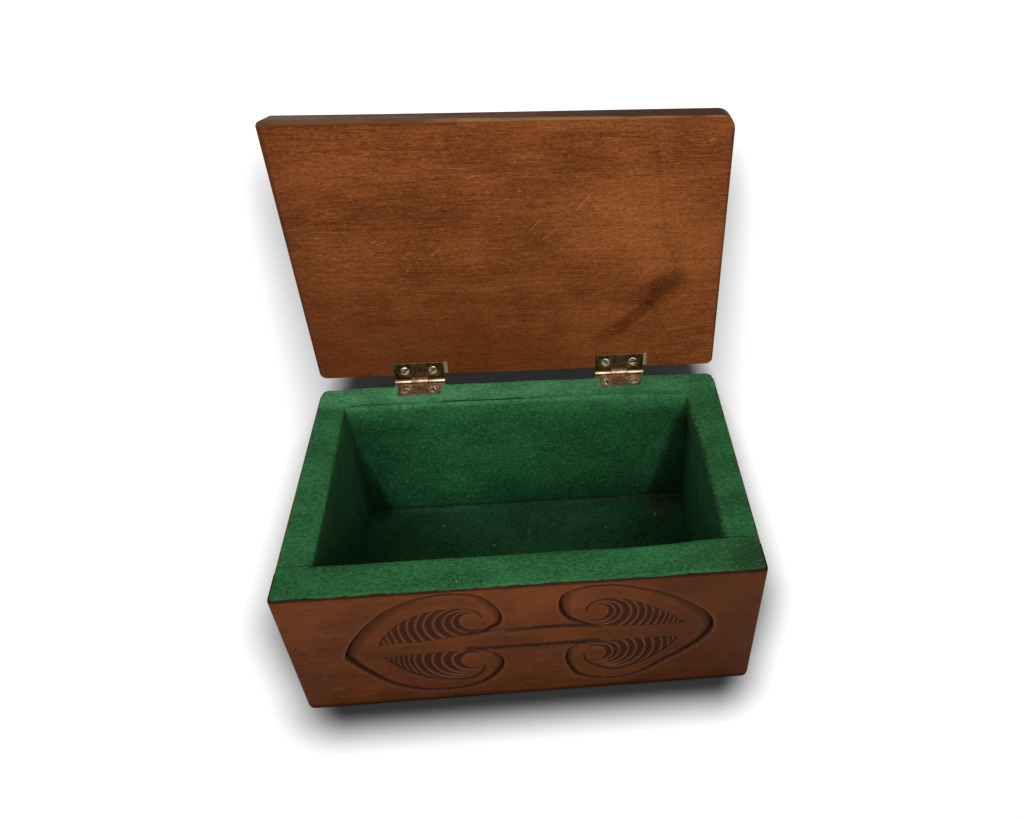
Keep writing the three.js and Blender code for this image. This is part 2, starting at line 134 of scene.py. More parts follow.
# How far a place is from the shaded patch round the box: past its left edge, past its right edge,
# or past its front and back ends. With that distance the floor is lifted to the surround's white
shade_middle, shade_half_depth = 0.055, 0.12
left_edge = grade(spot["Y"], -0.08, -0.01, -0.0545, -0.074)
right_edge = grade(spot["Y"], -0.085, -0.01, -0.0645, -0.0848)
to_left = maths("MULTIPLY_ADD", spot["X"], -0.68, left_edge)
to_right = maths("MULTIPLY_ADD", spot["X"], 0.8, right_edge)
sideways = maths("MAXIMUM", maths("MAXIMUM", to_left, to_right), 0.0)
lengthways = maths("ABSOLUTE", maths("SUBTRACT", spot["Y"], shade_middle))
lengthways = maths("MAXIMUM", maths("SUBTRACT", lengthways, shade_half_depth), 0.0)
aside = maths("SQRT", maths("MULTIPLY_ADD", sideways, sideways, times(lengthways, lengthways)))
lift_near = grade(aside, 0.002, 0.027, 0.0, 0.95)
lift_far = grade(aside, 0.2, 1.2, 0.0, 0.6, "LINEAR")

# The open lid's own soft shade, on the floor behind the box
behind = maths("MULTIPLY_ADD", spot["Y"], 0.2875, 0.0832)
lid_side = maths(
    "ABSOLUTE", maths("MULTIPLY_ADD", spot["Y"], 0.0395, maths("SUBTRACT", spot["X"], 0.00185)))
lid_side = maths("SUBTRACT", lid_side, behind)
lid_shade = times(
    grade(lid_side, -0.015, 0.031, 1.0, 0.0), grade(spot["Y"], 0.04, 0.1),
    grade(spot["Y"], 0.09, 0.16, 0.97, 0.52), grade(spot["Y"], 0.62, 0.4))
unshaded = maths("SUBTRACT", 1.0, lid_shade)
lift_all = maths("MINIMUM", lift_near, times(unshaded, 0.95))
lift_all = maths("MULTIPLY_ADD", lift_far, unshaded, lift_all)

# The floor's own grey is darker where it is seen directly, since the lift comes on top
diffuse_ray = add_node(tree, "ShaderNodeLightPath").outputs["Is Diffuse Ray"]
# Painted shadow: the floor's grey is also darker close round the box and in the gap behind it
in_gap = times(lid_shade, grade(spot["X"], -0.1, 0.0, 0.1, 0.5))
close_by = maths("MAXIMUM", in_gap, grade(aside, 0.012, 0.001, 0.0, 0.65))
floor_grey = times(grade(diffuse_ray, 0.0, 1.0, 0.15, 0.5, "LINEAR"), maths("SUBTRACT", 1.0, close_by))
pale = add_node(tree, "ShaderNodeBsdfDiffuse", {"Color": floor_grey})
lift = add_node(tree, "ShaderNodeEmission", {"Strength": times(seen_directly(tree), lift_all)})
both = add_node(tree, "ShaderNodeAddShader", {0: pale.outputs[0], 1: lift.outputs[0]})
add_node(tree, "ShaderNodeOutputMaterial", {"Surface": both.outputs[0]})
floor.data.materials.append(floor_paint["material"])

surround = bpy.data.worlds.new("surround")
bpy.context.scene.world = surround
surround.use_nodes = True
tree = surround.node_tree
tree.nodes.clear()
surround_strength = grade(seen_directly(tree), 0.0, 1.0, 0.52, 1.0, "LINEAR")
white = add_node(tree, "ShaderNodeBackground", {"Color": (1, 1, 1, 1), "Strength": surround_strength})
add_node(tree, "ShaderNodeOutputWorld", {"Surface": white.outputs[0]})

lamp_light = bpy.data.lights.new("soft_lamp", "AREA")
lamp_light.shape = "DISK"
lamp_light.size = 0.6
lamp_light.energy = 11.5
lamp = bpy.data.objects.new("soft_lamp", lamp_light)
lamp.location = (0.08, -1.12, 0.8)
lamp.rotation_mode = "QUATERNION"
lamp.rotation_quaternion = (Vector((0, 0.02, 0.06)) - lamp.location).to_track_quat("-Z", "Y")
bpy.context.scene.collection.objects.link(lamp)


# Base, sides and back. Plain boards of reddish hardwood, butted and glued round the base board.
# They were rounded over along their lower and back edges once they were together, then waxed.
half_width = 100 * mm
half_depth = 65 * mm
wall_height = 79.5 * mm
front_thick = 14 * mm
side_thick = 13.7 * mm
back_thick = 14.5 * mm
base_thick = 6 * mm
glue_line = 0.05 * mm
body_corners = (1.2 * mm, 1.2 * mm, 5 * mm)
body_lower_rounds = (4.5 * mm, 2.5 * mm)
body_upper_rounds = (0.5 * mm, 0.5 * mm)


def settle(name):
    """Names the active object and puts its place into its mesh."""
    piece = bpy.context.object
    piece.name = piece.data.name = name
    bpy.ops.object.transform_apply(location=True, rotation=True, scale=True)
    return piece


def start_alone(piece=None):
    """Leaves nothing selected, or only this piece."""
    bpy.ops.object.select_all(action="DESELECT")
    if piece:
        piece.select_set(True)
        bpy.context.view_layer.objects.active = piece


def choose(piece, kind, wanted):
    """Selects the piece's wanted vertices, edges or faces in edit mode."""
    if bpy.context.mode != "EDIT_MESH":
        bpy.ops.object.mode_set(mode="EDIT")
    bpy.ops.mesh.select_mode(type=kind)
    bpy.ops.mesh.select_all(action="DESELECT")
    form = bmesh.from_edit_mesh(piece.data)
    for part in {"VERT": form.verts, "EDGE": form.edges, "FACE": form.faces}[kind]:
        if wanted(part):
            part.select_set(True)
    bmesh.update_edit_mesh(piece.data)


def round_inset(radius, height):
    """How far a quarter round stands in at a height above its foot."""
    left = min(max(radius - height, 0), radius)
    return radius - math.sqrt(radius ** 2 - left ** 2)


def add_block(name, middle, size):
    """A plain block of this size about its middle."""
    start_alone()
    bpy.ops.mesh.primitive_cube_add(size=1, location=middle, scale=size)
    return settle(name)


def draw_out(move, scale, centre=(0, 0, 0)):
    """Extrudes what is chosen and resizes its new end."""
    bpy.ops.mesh.extrude_region_move(TRANSFORM_OT_translate={"value": move})
    bpy.ops.transform.resize(value=scale, center_override=centre)


def face_outwards():
    """Turns every face of the mesh in edit mode outwards, and leaves edit mode."""
    bpy.ops.mesh.select_all(action="SELECT")
    bpy.ops.mesh.normals_make_consistent(inside=False)
    bpy.ops.object.mode_set(mode="OBJECT")


def copy_of(piece, name, x=0):
    """A copy of the piece, with its own mesh, moved along X."""
    twin = piece.copy()
    twin.data = piece.data.copy()
    twin.name = twin.data.name = name
    twin.data.transform(Matrix.Translation((x, 0, 0)))
    bpy.context.scene.collection.objects.link(twin)
    return twin


def rounded_block(name, low, high, corners, lower_rounds, upper_rounds, steps=8):
    """A block as wide and deep as the box. Its upright corners are rounded: front left, front right
    and the back ones. So are its lower and upper edges, at the sides and at the front and back."""
    straight_low = low + max(lower_rounds)
    straight_high = high - max(upper_rounds)
    block = add_block(
        name, (0, 0, (straight_low + straight_high) / 2),
        (2 * half_width, 2 * half_depth, straight_high - straight_low))
    front_left, front_right, back = corners
    for side, end, radius in ((-1, -1, front_left), (1, -1, front_right), (-1, 1, back), (1, 1, back)):
        choose(block, "EDGE", lambda e: abs(e.verts[0].co.z - e.verts[1].co.z) > mm
               and all(end * v.co.y > half_depth - 0.01 * mm for v in e.verts)
               and all(side * v.co.x > half_width - 0.01 * mm for v in e.verts))
        bpy.ops.mesh.bevel(offset=radius, segments=steps, affect="EDGES")
    for end, rounds in ((-1, lower_rounds), (1, upper_rounds)):
        choose(block, "FACE", lambda f: end * f.normal.z > 0.9)
        tallest = max(rounds)
        width, depth, height = half_width, half_depth, tallest
        for step in range(1, steps + 1):
            left = tallest * (1 - math.sin(math.pi / 2 * step / steps))
            next_width = half_width - round_inset(rounds[0], left)
            next_depth = half_depth - round_inset(rounds[1], left)
            draw_out((0, 0, end * (height - left)), (next_width / width, next_depth / depth, 1))
            width, depth, height = next_width, next_depth, left
    bpy.ops.object.mode_set(mode="OBJECT")
    return block


def sawn_from(block, name, cuts):
    """A board sawn from a copy of the block. What lies beyond each cut falls away."""
    board = copy_of(block, name)
    start_alone(board)
    bpy.ops.object.mode_set(mode="EDIT")
    bpy.ops.mesh.select_mode(type="FACE")
    for place, beyond in cuts:
        bpy.ops.mesh.select_all(action="SELECT")
        bpy.ops.mesh.bisect(plane_co=place, plane_no=beyond, use_fill=True, clear_outer=True)
    face_outwards()
    return board


def smooth(piece, angle=35):
    """Shades the piece smooth, except over edges that turn by more than the angle."""
    start_alone(piece)
    bpy.ops.object.shade_smooth_by_angle(angle=math.radians(angle))


body_block = rounded_block("body_block", 0, wall_height, body_corners, body_lower_rounds, body_upper_rounds)
front_joint = (0, -half_depth + front_thick + glue_line, 0)
side_boards = []
for name, side in (("left_wall", -1), ("right_wall", 1)):
    side_boards.append(sawn_from(body_block, name, (
        ((side * (half_width - side_thick), 0, 0), (-side, 0, 0)),
        (front_joint, (0, -1, 0)))))
back_board = sawn_from(body_block, "back_wall", (
    ((0, half_depth - back_thick, 0), (0, -1, 0)),
    ((half_width - side_thick - glue_line, 0, 0), (1, 0, 0)),
    ((-half_width + side_thick + glue_line, 0, 0), (-1, 0, 0))))
base_board = sawn_from(body_block, "base_board", (
    ((0, 0, base_thick), (0, 0, 1)),
    (front_joint, (0, -1, 0)),
    ((0, half_depth - back_thick - glue_line, 0), (0, 1, 0)),
    ((half_width - side_thick - glue_line, 0, 0), (1, 0, 0)),
    ((-half_width + side_thick + glue_line, 0, 0), (-1, 0, 0))))
bpy.data.objects.remove(body_block)


def start_group(name, vectors, numbers, outputs):
    """A shader node group, from the names of its sockets and its numbers' values. Returns its tree
    and what it is given."""
    group = bpy.data.node_groups.new(name, "ShaderNodeTree")
    sockets = [(socket, "INPUT", "NodeSocketVector") for socket in vectors]
    sockets += [(socket, "INPUT", "NodeSocketFloat") for socket in numbers]
    sockets += [(socket, "OUTPUT", "NodeSocketFloat") for socket in outputs]
    for socket, way, kind in sockets:
        made = group.interface.new_socket(name=socket, in_out=way, socket_type=kind)
        if socket in numbers:
            made.default_value = numbers[socket]
    return group, add_node(group, "NodeGroupInput").outputs


def use_group(group, inputs):
    """Puts a node group into its inputs' tree and returns its outputs."""
    return add_node(tree_of(inputs.values()), "ShaderNodeGroup", inputs, node_tree=group).outputs


def stretch(vector, scale=(1, 1, 1), turn=(0, 0, 0), shift=(0, 0, 0)):
    """The vector turned, stretched and shifted."""
    node = add_node(vector.id_data, "ShaderNodeMapping", {
        "Vector": vector, "Scale": scale, "Rotation": tuple(math.radians(a) for a in turn),
        "Location": shift})
    return node.outputs[0]


def noise(vector, scale, detail=2.0, roughness=0.5, shift=(0, 0, 0)):
    """Cloudy noise. Its scale is one number, or one for each axis."""
    if isinstance(scale, tuple):
        vector, scale = stretch(vector, scale, shift=shift), 1.0
    node = add_node(vector.id_data, "ShaderNodeTexNoise", {
        "Vector": vector, "Scale": scale, "Detail": detail, "Roughness": roughness})
    return node.outputs["Fac"]


def vector_maths(operation, *values):
    """One step of arithmetic with vectors. A distance or a dot product comes out as a number."""
    sockets = (0, "Scale") if operation == "SCALE" else (0, 1)
    node = add_node(
        tree_of(values), "ShaderNodeVectorMath", dict(zip(sockets, values)), operation=operation)
    return node.outputs["Value" if operation in ("DISTANCE", "DOT_PRODUCT") else "Vector"]


def blend(amount, first, second, way="MIX"):
    """One colour laid over another by an amount."""
    node = add_node(
        tree_of((amount, first, second)), "ShaderNodeMix", {0: amount, 6: first, 7: second},
        data_type="RGBA", blend_type=way)
    return node.outputs[2]


def stain(coat, mark, amount, colour, way="MIX"):
    """Lays a colour over a coat's own, where the mark says and as strongly as the amount."""
    coat["colour"] = blend(times(mark, amount), coat["colour"], colour, way)


def close_material(coat, inputs):
    """Ends the coat's material with a shader of its colour that takes these inputs."""
    shader = add_node(coat["tree"], "ShaderNodeBsdfPrincipled", {"Base Color": coat["colour"], **inputs})
    add_node(coat["tree"], "ShaderNodeOutputMaterial", {"Surface": shader.outputs[0]})
    return coat["material"]


# Wood figure, with the grain along X: broad streaks, fine fibres, clouds and short dark pores
wood_figure, given = start_group("wood_figure", ["Vector"], {}, ["Streaks", "Fibres", "Clouds", "Pores"])
wander = add_node(
    wood_figure, "ShaderNodeTexNoise", {"Vector": given["Vector"], "Scale": 22.0, "Detail": 2.0})
bent = vector_maths("MULTIPLY", wander.outputs["Color"], (0.0, 0.0035, 0.0035))
bent = vector_maths("ADD", given["Vector"], bent)
add_node(wood_figure, "NodeGroupOutput", {
    "Streaks": grade(noise(bent, (7, 110, 110), 3.0, 0.55), 0.3, 0.7),
    "Fibres": grade(noise(bent, (70, 1500, 1500), 3.0, 0.6), 0.3, 0.7),
    "Clouds": grade(noise(bent, (34, 48, 48), 4.0, 0.6), 0.3, 0.7),
    "Pores": grade(noise(bent, (260, 2400, 2400), 1.0, 0.5), 0.66, 0.74)})

# Edge wear: one along the edges of a block, where two of its faces meet, broken up by noise
edge_wear, given = start_group("edge_wear", ["Vector", "Centre", "Half Size"], {"Width": 0.002}, ["Wear"])
from_centre = vector_maths("ABSOLUTE", vector_maths("SUBTRACT", given["Vector"], given["Centre"]))
near = []
for short_of in axes(vector_maths("SUBTRACT", given["Half Size"], from_centre)):
    near.append(maths("SUBTRACT", 1.0, maths("DIVIDE", short_of, given["Width"]), clamp=True))
worn = maths("MAXIMUM", times(near[0], near[1]), times(near[1], near[2]))
worn = maths("MAXIMUM", worn, times(near[0], near[2]))
patches = grade(noise(given["Vector"], 90.0, 3.0, 0.65), 0.36, 0.6)
add_node(edge_wear, "NodeGroupOutput", {"Wear": times(worn, patches)})


def start_wood(name, dark, light, turn=(0, 0, 0), shift=(0, 0, 0)):
    """The figured colour of a wooden piece, before its marks. The grain runs along X once the
    piece's coordinates have had this turn."""
    wood = start_material(name)
    figure = use_group(wood_figure, {"Vector": stretch(wood["place"], turn=turn, shift=shift)})
    amount = times(figure["Streaks"], 0.24)
    amount = maths("MULTIPLY_ADD", figure["Clouds"], 0.4, amount)
    amount = maths("MULTIPLY_ADD", figure["Fibres"], 0.36, amount)
    wood.update(figure=figure, colour=blend(amount, dark, light))
    stain(wood, figure["Pores"], 0.55, tuple(c * 0.35 for c in dark[:3]) + (1,))
    return wood


def wax_wood(wood, shine, roughness=0.4, relief=0.00006):
    """Closes a wooden material: rubbed wax over open grain."""
    figure = wood["figure"]
    height = maths("MULTIPLY_ADD", figure["Pores"], -1.0, times(figure["Fibres"], 0.5))
    bump = add_node(wood["tree"], "ShaderNodeBump", {"Height": height, "Distance": relief, "Strength": 0.8})
    gloss = maths("MULTIPLY_ADD", figure["Clouds"], 0.1, roughness)
    gloss = maths("MULTIPLY_ADD", figure["Pores"], 0.2, gloss)
    return close_material(wood, {
        "Roughness": gloss, "Normal": bump.outputs[0], "Specular IOR Level": shine})


body_dark = (0.042, 0.0115, 0.0035, 1)
body_light = (0.105, 0.03, 0.0095, 1)
worn_body = (0.26, 0.12, 0.06, 1)


def body_wear(wood, width):
    """One along the edges of the box's body, where they are rubbed or dirty."""
    return use_group(edge_wear, {
        "Vector": wood["place"], "Centre": (0, 0, wall_height / 2),
        "Half Size": (half_width, half_depth, wall_height / 2), "Width": width})["Wear"]


def body_wood(name, turn, shift):
    """The waxed wood of one of the body's boards, from its own part of the plank."""
    wood = start_wood(name, body_dark, body_light, turn, shift)
    stain(wood, body_wear(wood, 2.6 * mm), 0.6, worn_body)
    return wax_wood(wood, 0.025)


for board, node, turn, shift in (
        (side_boards[0], "left_board", (0, 0, 90), (0.31, 0.02, 0.0)),
        (side_boards[1], "right_board", (0, 0, 90), (0.83, 0.47, 0.1)),
        (back_board, "back_board", (0, 0, 0), (0.57, 0.2, 0.33)),
        (base_board, "bottom_board", (0, 0, 0), (0.11, 0.7, 0.61))):
    board.data.materials.append(body_wood(board.name + "_wood", turn, shift))
    smooth(board)
    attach(board, "box")
    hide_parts(node)


# Carved front. One board across the whole front, with two leaf-shaped motifs that share a stem.
# Each was cut with a knife and gouges: a wall straight down on the outline, a bevel rising
# from its foot, and rows of gouge notches in the leaves. Its measures are in millimetres.
front_half, front_face, front_top = half_width / mm, -half_depth / mm, wall_height / mm
front_corner = body_corners[0] / mm
foot_rise, foot_run = (reach / mm for reach in body_lower_rounds)
front_arris = 0.8
carved_from, carved_to = -82, 84
front_cell = 0.4
plain_cell = 1.4
cut_start = 0.4
cut_slope = 0.34
wall_run = 0.45
notch_depth = 1.0
notch_end_depth = 0.45
line_pull = 0.47
crest_pull = 0.5
run_out = 1.4
run_out_tip = (0.3, 0)
outline_cuts = (2, 3)
stem_from, stem_to = -27, 30

# How far from each cut's line the painted shade on its wall lies, and how far it reaches to either side
wall_shade_reach = ((0.8, 2.0), (1.2, 2.6), (0.5, 0.95), (0.5, 0.95), *4 * [(0.3, 0.75)])
hollow_turns = 14

# Each motif's heart, on whose side of the outline the cut lies, and the outline's points: X, height
# and the width of the cut
motifs = (
    ((-42, 43), (
        (-19.5, 48.8, 3), (-15.5, 51.4, 3), (-10.9, 55.4, 3.2), (-10.1, 61, 3.8), (-12.6, 68.2, 4),
        (-18, 74.6, 3), (-26.5, 77.4, 1.8), (-36, 77.5, 1.8), (-46.5, 74.6, 3.4),
        (-56.5, 69.2, 5.2), (-66, 59.8, 6), (-73, 50, 5.6), (-76.9, 41.5, 5.4),
        (-77.7, 37.6, 5.6), (-76, 34, 5), (-70.5, 26, 4), (-62, 16, 3.6),
        (-54, 10.8, 3.2), (-44, 8.4, 2.4), (-33, 8.4, 2.4), (-24, 10.4, 2.6),
        (-17, 15, 3.6), (-12.2, 22, 4.2), (-11.3, 29, 3.8), (-14, 34.6, 3.2),
        (-18.5, 37.4, 2.6), (-23, 39.4, 2.2))),
    ((44, 43), (
        (26, 49, 2.4), (21.8, 51.8, 2.4), (16.6, 55.4, 3.4), (13.9, 61, 4.6), (13.6, 66.5, 5.4),
        (15.4, 72.4, 5.2), (20.5, 75.4, 3), (28, 76.9, 1.7), (38, 76.5, 1.7),
        (48, 73.4, 2.4), (58, 69.2, 3.6), (68, 62.2, 4.4), (76, 54.6, 5.4),
        (79.9, 47.5, 5.8), (80, 40, 5.4), (76, 32.4, 4.4), (67.5, 24, 3.8),
        (59.5, 18.4, 3.2), (51.5, 12, 2.8), (43, 8.6, 1.9), (34, 7.9, 1.7),
        (25.5, 9.8, 2.4), (19.6, 13.4, 3.2), (16.4, 20.5, 3.4), (15.4, 27.5, 3.6),
        (17, 33.8, 3), (21, 37.4, 2.6), (25.4, 39.6, 2.2))),
)

# The stem's upper and lower edge, in the same form
stem_edges = (
    ((0, -2000), ((-28, 50.6, 1), (-18, 51, 2.2), (5, 52, 2.6), (18, 51.7, 2.4), (31, 50.2, 1))),
    ((0, 2000), ((-26, 37.6, 1), (-12, 36.9, 2.2), (6, 36.8, 2.4), (20, 37, 2.2), (34, 37.4, 1))),
)

# Each leaf's boss, which its notches curl round, its heart, its outer edge in the same form, its
# edge along the stem, and how wide each notch is, counted from the boss
leaves = (
    {"boss": (-22.1, 58), "boss_radius": 5.4, "heart": (-38, 55),
     "curl": ((-62.4, 45.8, 0.8), (-60.4, 50.6, 1.3), (-53, 59, 1.5), (-44.4, 64.9, 1.6),
              (-34, 67.6, 1.6), (-25, 67.3, 1.6), (-19.8, 64.6, 1.3), (-18.1, 61, 0.7)),
     "stem": ((-62, 45.8), (-41, 46.6), (-29, 48.4), (-20, 49.6)),
     "steps": (3.4, 3.7, 4.2, 4.2, 3.4, 3.6, 3.6, 3, 2.7, 2.4, 2)},
    {"boss": (-24, 29.7), "boss_radius": 5.2, "heart": (-38, 30),
     "curl": ((-62.2, 37.6, 0.8), (-57.6, 30.4, 1.3), (-50.3, 22.4, 1.5), (-41, 17.4, 1.6),
              (-31, 15.4, 1.6), (-24.4, 17.2, 1.6), (-20.4, 21.4, 1.3), (-19.4, 25.6, 0.7)),
     "stem": ((-62, 37.5), (-44, 37.8), (-30, 38.2), (-20, 37.4)),
     "steps": (4.4, 4.4, 4.1, 4, 3.6, 2.3, 2.2, 2.1, 2, 1.9, 1.8)},
    {"boss": (29, 58.7), "boss_radius": 5, "heart": (44, 56),
     "curl": ((67.4, 47.4, 0.8), (60, 55, 1.3), (50.5, 61.6, 1.5), (42, 66.2, 1.6),
              (34.5, 68, 1.6), (28, 66.4, 1.6), (25.1, 63, 1.3), (24.5, 60.2, 0.7)),
     "stem": ((67, 47.2), (52, 46.8), (38, 48), (28, 49.4)),
     "steps": (3.1, 2.8, 4.4, 3, 3.4, 3, 3.1, 2.6, 2.2, 2.2, 2.1, 2)},
    {"boss": (28.3, 28.8), "boss_radius": 4.8, "heart": (43, 30),
     "curl": ((65.6, 37.6, 0.8), (61.6, 30.2, 1.3), (54, 22.6, 1.5), (44.6, 16.4, 1.6),
              (37, 14.8, 1.6), (29.2, 18.6, 1.6), (24.2, 23.6, 1.3), (23.2, 28.4, 0.7)),
     "stem": ((65, 37.8), (48, 38.4), (36, 38.2), (26, 37.4)),
     "steps": (3.4, 2.9, 4.1, 3.4, 4, 3.8, 3.8, 2.9, 2.3, 1.9)},
)


def line_through(rows, per_span=9):
    """A smooth line through the rows' points, which carries their other values along."""
    rows = np.array(rows, float)
    rows = np.vstack([2 * rows[0] - rows[1], rows, 2 * rows[-1] - rows[-2]])
    share = np.arange(per_span)[:, None] / per_span
    found = []
    for before, start, end, after in zip(rows[:-3], rows[1:-2], rows[2:-1], rows[3:]):
        spans = ((before, start), (start, end), (end, after))
        lead, span, follow = (max(math.sqrt(np.linalg.norm(b - a)), 1e-4) for a, b in spans)
        leaving = (start - before) / lead - (end - before) / (lead + span) + (end - start) / span
        coming = (end - start) / span - (after - start) / (span + follow) + (after - end) / follow
        found.append(
            (2 * share**3 - 3 * share**2 + 1) * start + (share**3 - 2 * share**2 + share) * (leaving * span)
            + (3 * share**2 - 2 * share**3) * end + (share**3 - share**2) * (coming * span))
    return np.vstack(found + [rows[-2:-1]])


def from_line(line, heart, x, z, reach=7.0):
    """For each point near the line: how far it lies from the line, plus towards the heart,
    the line's own values at its nearest place, and the way that leads off the line."""
    apart = np.full(x.shape, reach)
    sign = np.ones(x.shape)
    values = np.zeros((x.size, line.shape[1] - 2))
    away = np.zeros((x.size, 2))
    near = np.flatnonzero(
        (x > line[:, 0].min() - reach) & (x < line[:, 0].max() + reach)
        & (z > line[:, 1].min() - reach) & (z < line[:, 1].max() + reach))
    near_x, near_z = x[near], z[near]
    for start, end in zip(line[:-1], line[1:]):
        run_x, run_z = end[0] - start[0], end[1] - start[1]
        from_x, from_z = near_x - start[0], near_z - start[1]
        share = np.clip((from_x * run_x + from_z * run_z) / (run_x**2 + run_z**2 + 1e-12), 0, 1)
        far = np.hypot(from_x - share * run_x, from_z - share * run_z)
        closer = far < apart[near]
        at = near[closer]
        apart[at] = far[closer]
        heart_side = np.sign(run_x * (heart[1] - start[1]) - run_z * (heart[0] - start[0]))
        sign[at] = np.sign(run_x * from_z[closer] - run_z * from_x[closer]) * heart_side
        values[at] = start[2:] + share[closer, None] * (end[2:] - start[2:])
        length = math.hypot(run_x, run_z) + 1e-12
        away[at] = np.array([-run_z, run_x]) / length * heart_side
    return apart * np.where(sign == 0, 1, sign), values, away


def cut_line(rows):
    """The line of a cut with its width and depth, let run out over a short way at both ends."""
    line = line_through(rows)
    line = np.column_stack([line, cut_start + cut_slope * line[:, 2]])
    ends = []
    for end, before in ((line[0, :2], line[1, :2]), (line[-1, :2], line[-2, :2])):
        ends.append(np.append(end + (end - before) * run_out / np.linalg.norm(end - before), run_out_tip))
    return np.vstack([ends[0], line, ends[1]])


def ease(value, low, high):
    """Nought up to low, one from high on, and a smooth rise between them."""
    share = np.clip((value - low) / (high - low), 0, 1)
    return share * share * (3 - 2 * share)


def inside(outline, x, z):
    """Which points lie inside a closed outline."""
    found = np.zeros(x.shape, bool)
    for here, before in zip(outline, np.roll(outline, 1, axis=0)):
        crosses = (here[1] > z) != (before[1] > z)
        meets = (before[0] - here[0]) * (z - here[1]) / (before[1] - here[1] + 1e-12) + here[0]
        found ^= crosses & (x < meets)
    return found


def carve(x, z):
    """Draws the grid's points onto the cuts' lines, then gives each its depth. The cuts are the
    stem's two edges, the motifs' two outlines and the leaves' curls, in this order."""
    cuts = [(cut_line(line), heart) for heart, line in stem_edges + motifs]
    cuts += [(cut_line(leaf["curl"]), leaf["heart"]) for leaf in leaves]
    taken = np.zeros(x.size, bool)

    def into_stem():
        """How far inside the stem each point lies, for the outlines to die away in it."""
        over, under = (line_through(rows) for _, rows in stem_edges)
        from_top = np.interp(x, over[:, 0], over[:, 1]) - z
        from_foot = z - np.interp(x, under[:, 0], under[:, 1])
        return np.where((x > stem_from) & (x < stem_to), np.minimum(from_top, from_foot), -9.0)

    for number_of_cut, (line, heart) in enumerate(cuts):
        apart, values, away = from_line(line, heart, x, z, 2.0)
        free = ~taken
        if number_of_cut in outline_cuts:
            free &= into_stem() < 0.1
        for target in (0.0, wall_run):
            snapped = np.abs(apart - target) < line_pull * front_cell
            snapped &= (values[:, 0] > 0.6) & free & ~taken
            taken |= snapped
            x[snapped] += ((target - apart) * away[:, 0])[snapped]
            z[snapped] += ((target - apart) * away[:, 1])[snapped]
            apart[snapped] = target
    depth = np.zeros(x.size)
    off_stem = 1 - ease(into_stem(), wall_run, wall_run + 1.3)
    glint = np.zeros(x.size)
    wall_shade = np.zeros(x.size)
    for number_of_cut, (line, heart) in enumerate(cuts):
        apart, values, away = from_line(line, heart, x, z)
        width, deepest = values[:, 0], values[:, 1]
        if number_of_cut in outline_cuts:
            deepest = deepest * off_stem
        if number_of_cut == 0:
            # A gleam along the foot of the stem's upper edge
            glint = ease(0.55 - np.abs(apart - np.interp(x, (-24, 0), (2.2, 1.2))), 0, 0.4)
            glint *= ease(x, -22, -18) * (0.35 + 0.65 * ease(-x, 7, 12)) * ease(6 - x, 0, 6)
        foot = np.minimum(wall_run, 0.4 * width) + 1e-6
        middle, spread = wall_shade_reach[number_of_cut]
        line_shade = 1 - ease(np.abs(apart - middle), 0.45 * spread, spread)
        if number_of_cut > 1:
            line_shade = line_shade * ease(width, 0.5, 1.4) * (deepest > 0.2)
        else:
            line_shade = line_shade * ease(x, -29, -25) * ease(33 - x, 0, 4)
        wall_shade = np.maximum(wall_shade, line_shade)
        wall = np.clip(apart / foot, 0, 1)
        bevel = np.clip(1 - (apart - foot) / np.maximum(width - foot, 1e-3), 0, 1)
        depth = np.maximum(depth, np.where(apart > 0, deepest * np.minimum(wall, bevel**1.1), 0))
    crest = np.zeros(x.size)
    scooped = np.zeros(x.size)
    for leaf in leaves:
        boss = np.array(leaf["boss"], float)
        along = np.array(leaf["curl"][0][:2]) - boss
        along /= np.linalg.norm(along)

        def circle(from_x, from_z):
            """How far along the leaf the crest circle through each point has its far side."""
            ahead = from_x * along[0] + from_z * along[1] + leaf["boss_radius"]
            return (from_x**2 + from_z**2 - leaf["boss_radius"]**2) / np.maximum(ahead, 1e-3), ahead

        from_x, from_z = x - boss[0], z - boss[1]
        nudge = 0.01
        out, ahead = circle(from_x, from_z)
        slope_x = (circle(from_x + nudge, from_z)[0] - out) / nudge
        slope_z = (circle(from_x, from_z + nudge)[0] - out) / nudge
        steep = slope_x**2 + slope_z**2 + 1e-6
        curl = line_through(leaf["curl"])
        stem = line_through([row + (0,) for row in leaf["stem"]])
        outline = np.vstack([curl[:, :2], stem[::-1, :2]])
        within = inside(outline, x, z) & (ahead > 0)
        from_curl = np.abs(from_line(curl, leaf["heart"], x, z, 6.0)[0])
        from_stem = np.abs(from_line(stem, leaf["heart"], x, z, 6.0)[0])
        wall_shade = np.maximum(wall_shade, np.where(within, 0.7 * (1 - ease(from_stem, 0.4, 1.1)), 0))
        margin = np.minimum(from_curl, from_stem)
        fullness = notch_end_depth + (notch_depth - notch_end_depth) * ease(margin, 0, 4)
        start = 0.0
        for step in leaf["steps"]:
            off = (start + step - out) / np.sqrt(steep)
            snapped = within & ~taken & (np.abs(off) < crest_pull * front_cell) & (steep < 9)
            x[snapped] += (off * slope_x / np.sqrt(steep))[snapped]
            z[snapped] += (off * slope_z / np.sqrt(steep))[snapped]
            out[snapped] = start + step
            taken |= snapped
            across = (out - start) / step
            scoop = np.clip(1 - np.abs(2 * across - 1)**2.2, 0, 1)
            room = ease(step / np.sqrt(steep), 0.8, 1.7)
            notch = within & (across >= 0) & (across <= 1)
            depth = np.maximum(depth, np.where(notch, fullness * scoop * room * ease(margin, 0, 0.6), 0))
            scooped = np.maximum(scooped, np.where(notch, scoop * room * ease(margin, 0, 0.6), 0))
            ridge = (1 - ease(scoop, 0.1, 0.7)) * room * ease(margin, 0.2, 0.9)
            crest = np.maximum(crest, np.where(notch, ridge, 0))
            start += step
    return depth, {"crest": crest, "scooped": scooped, "wall_shade": wall_shade, "glint": glint}


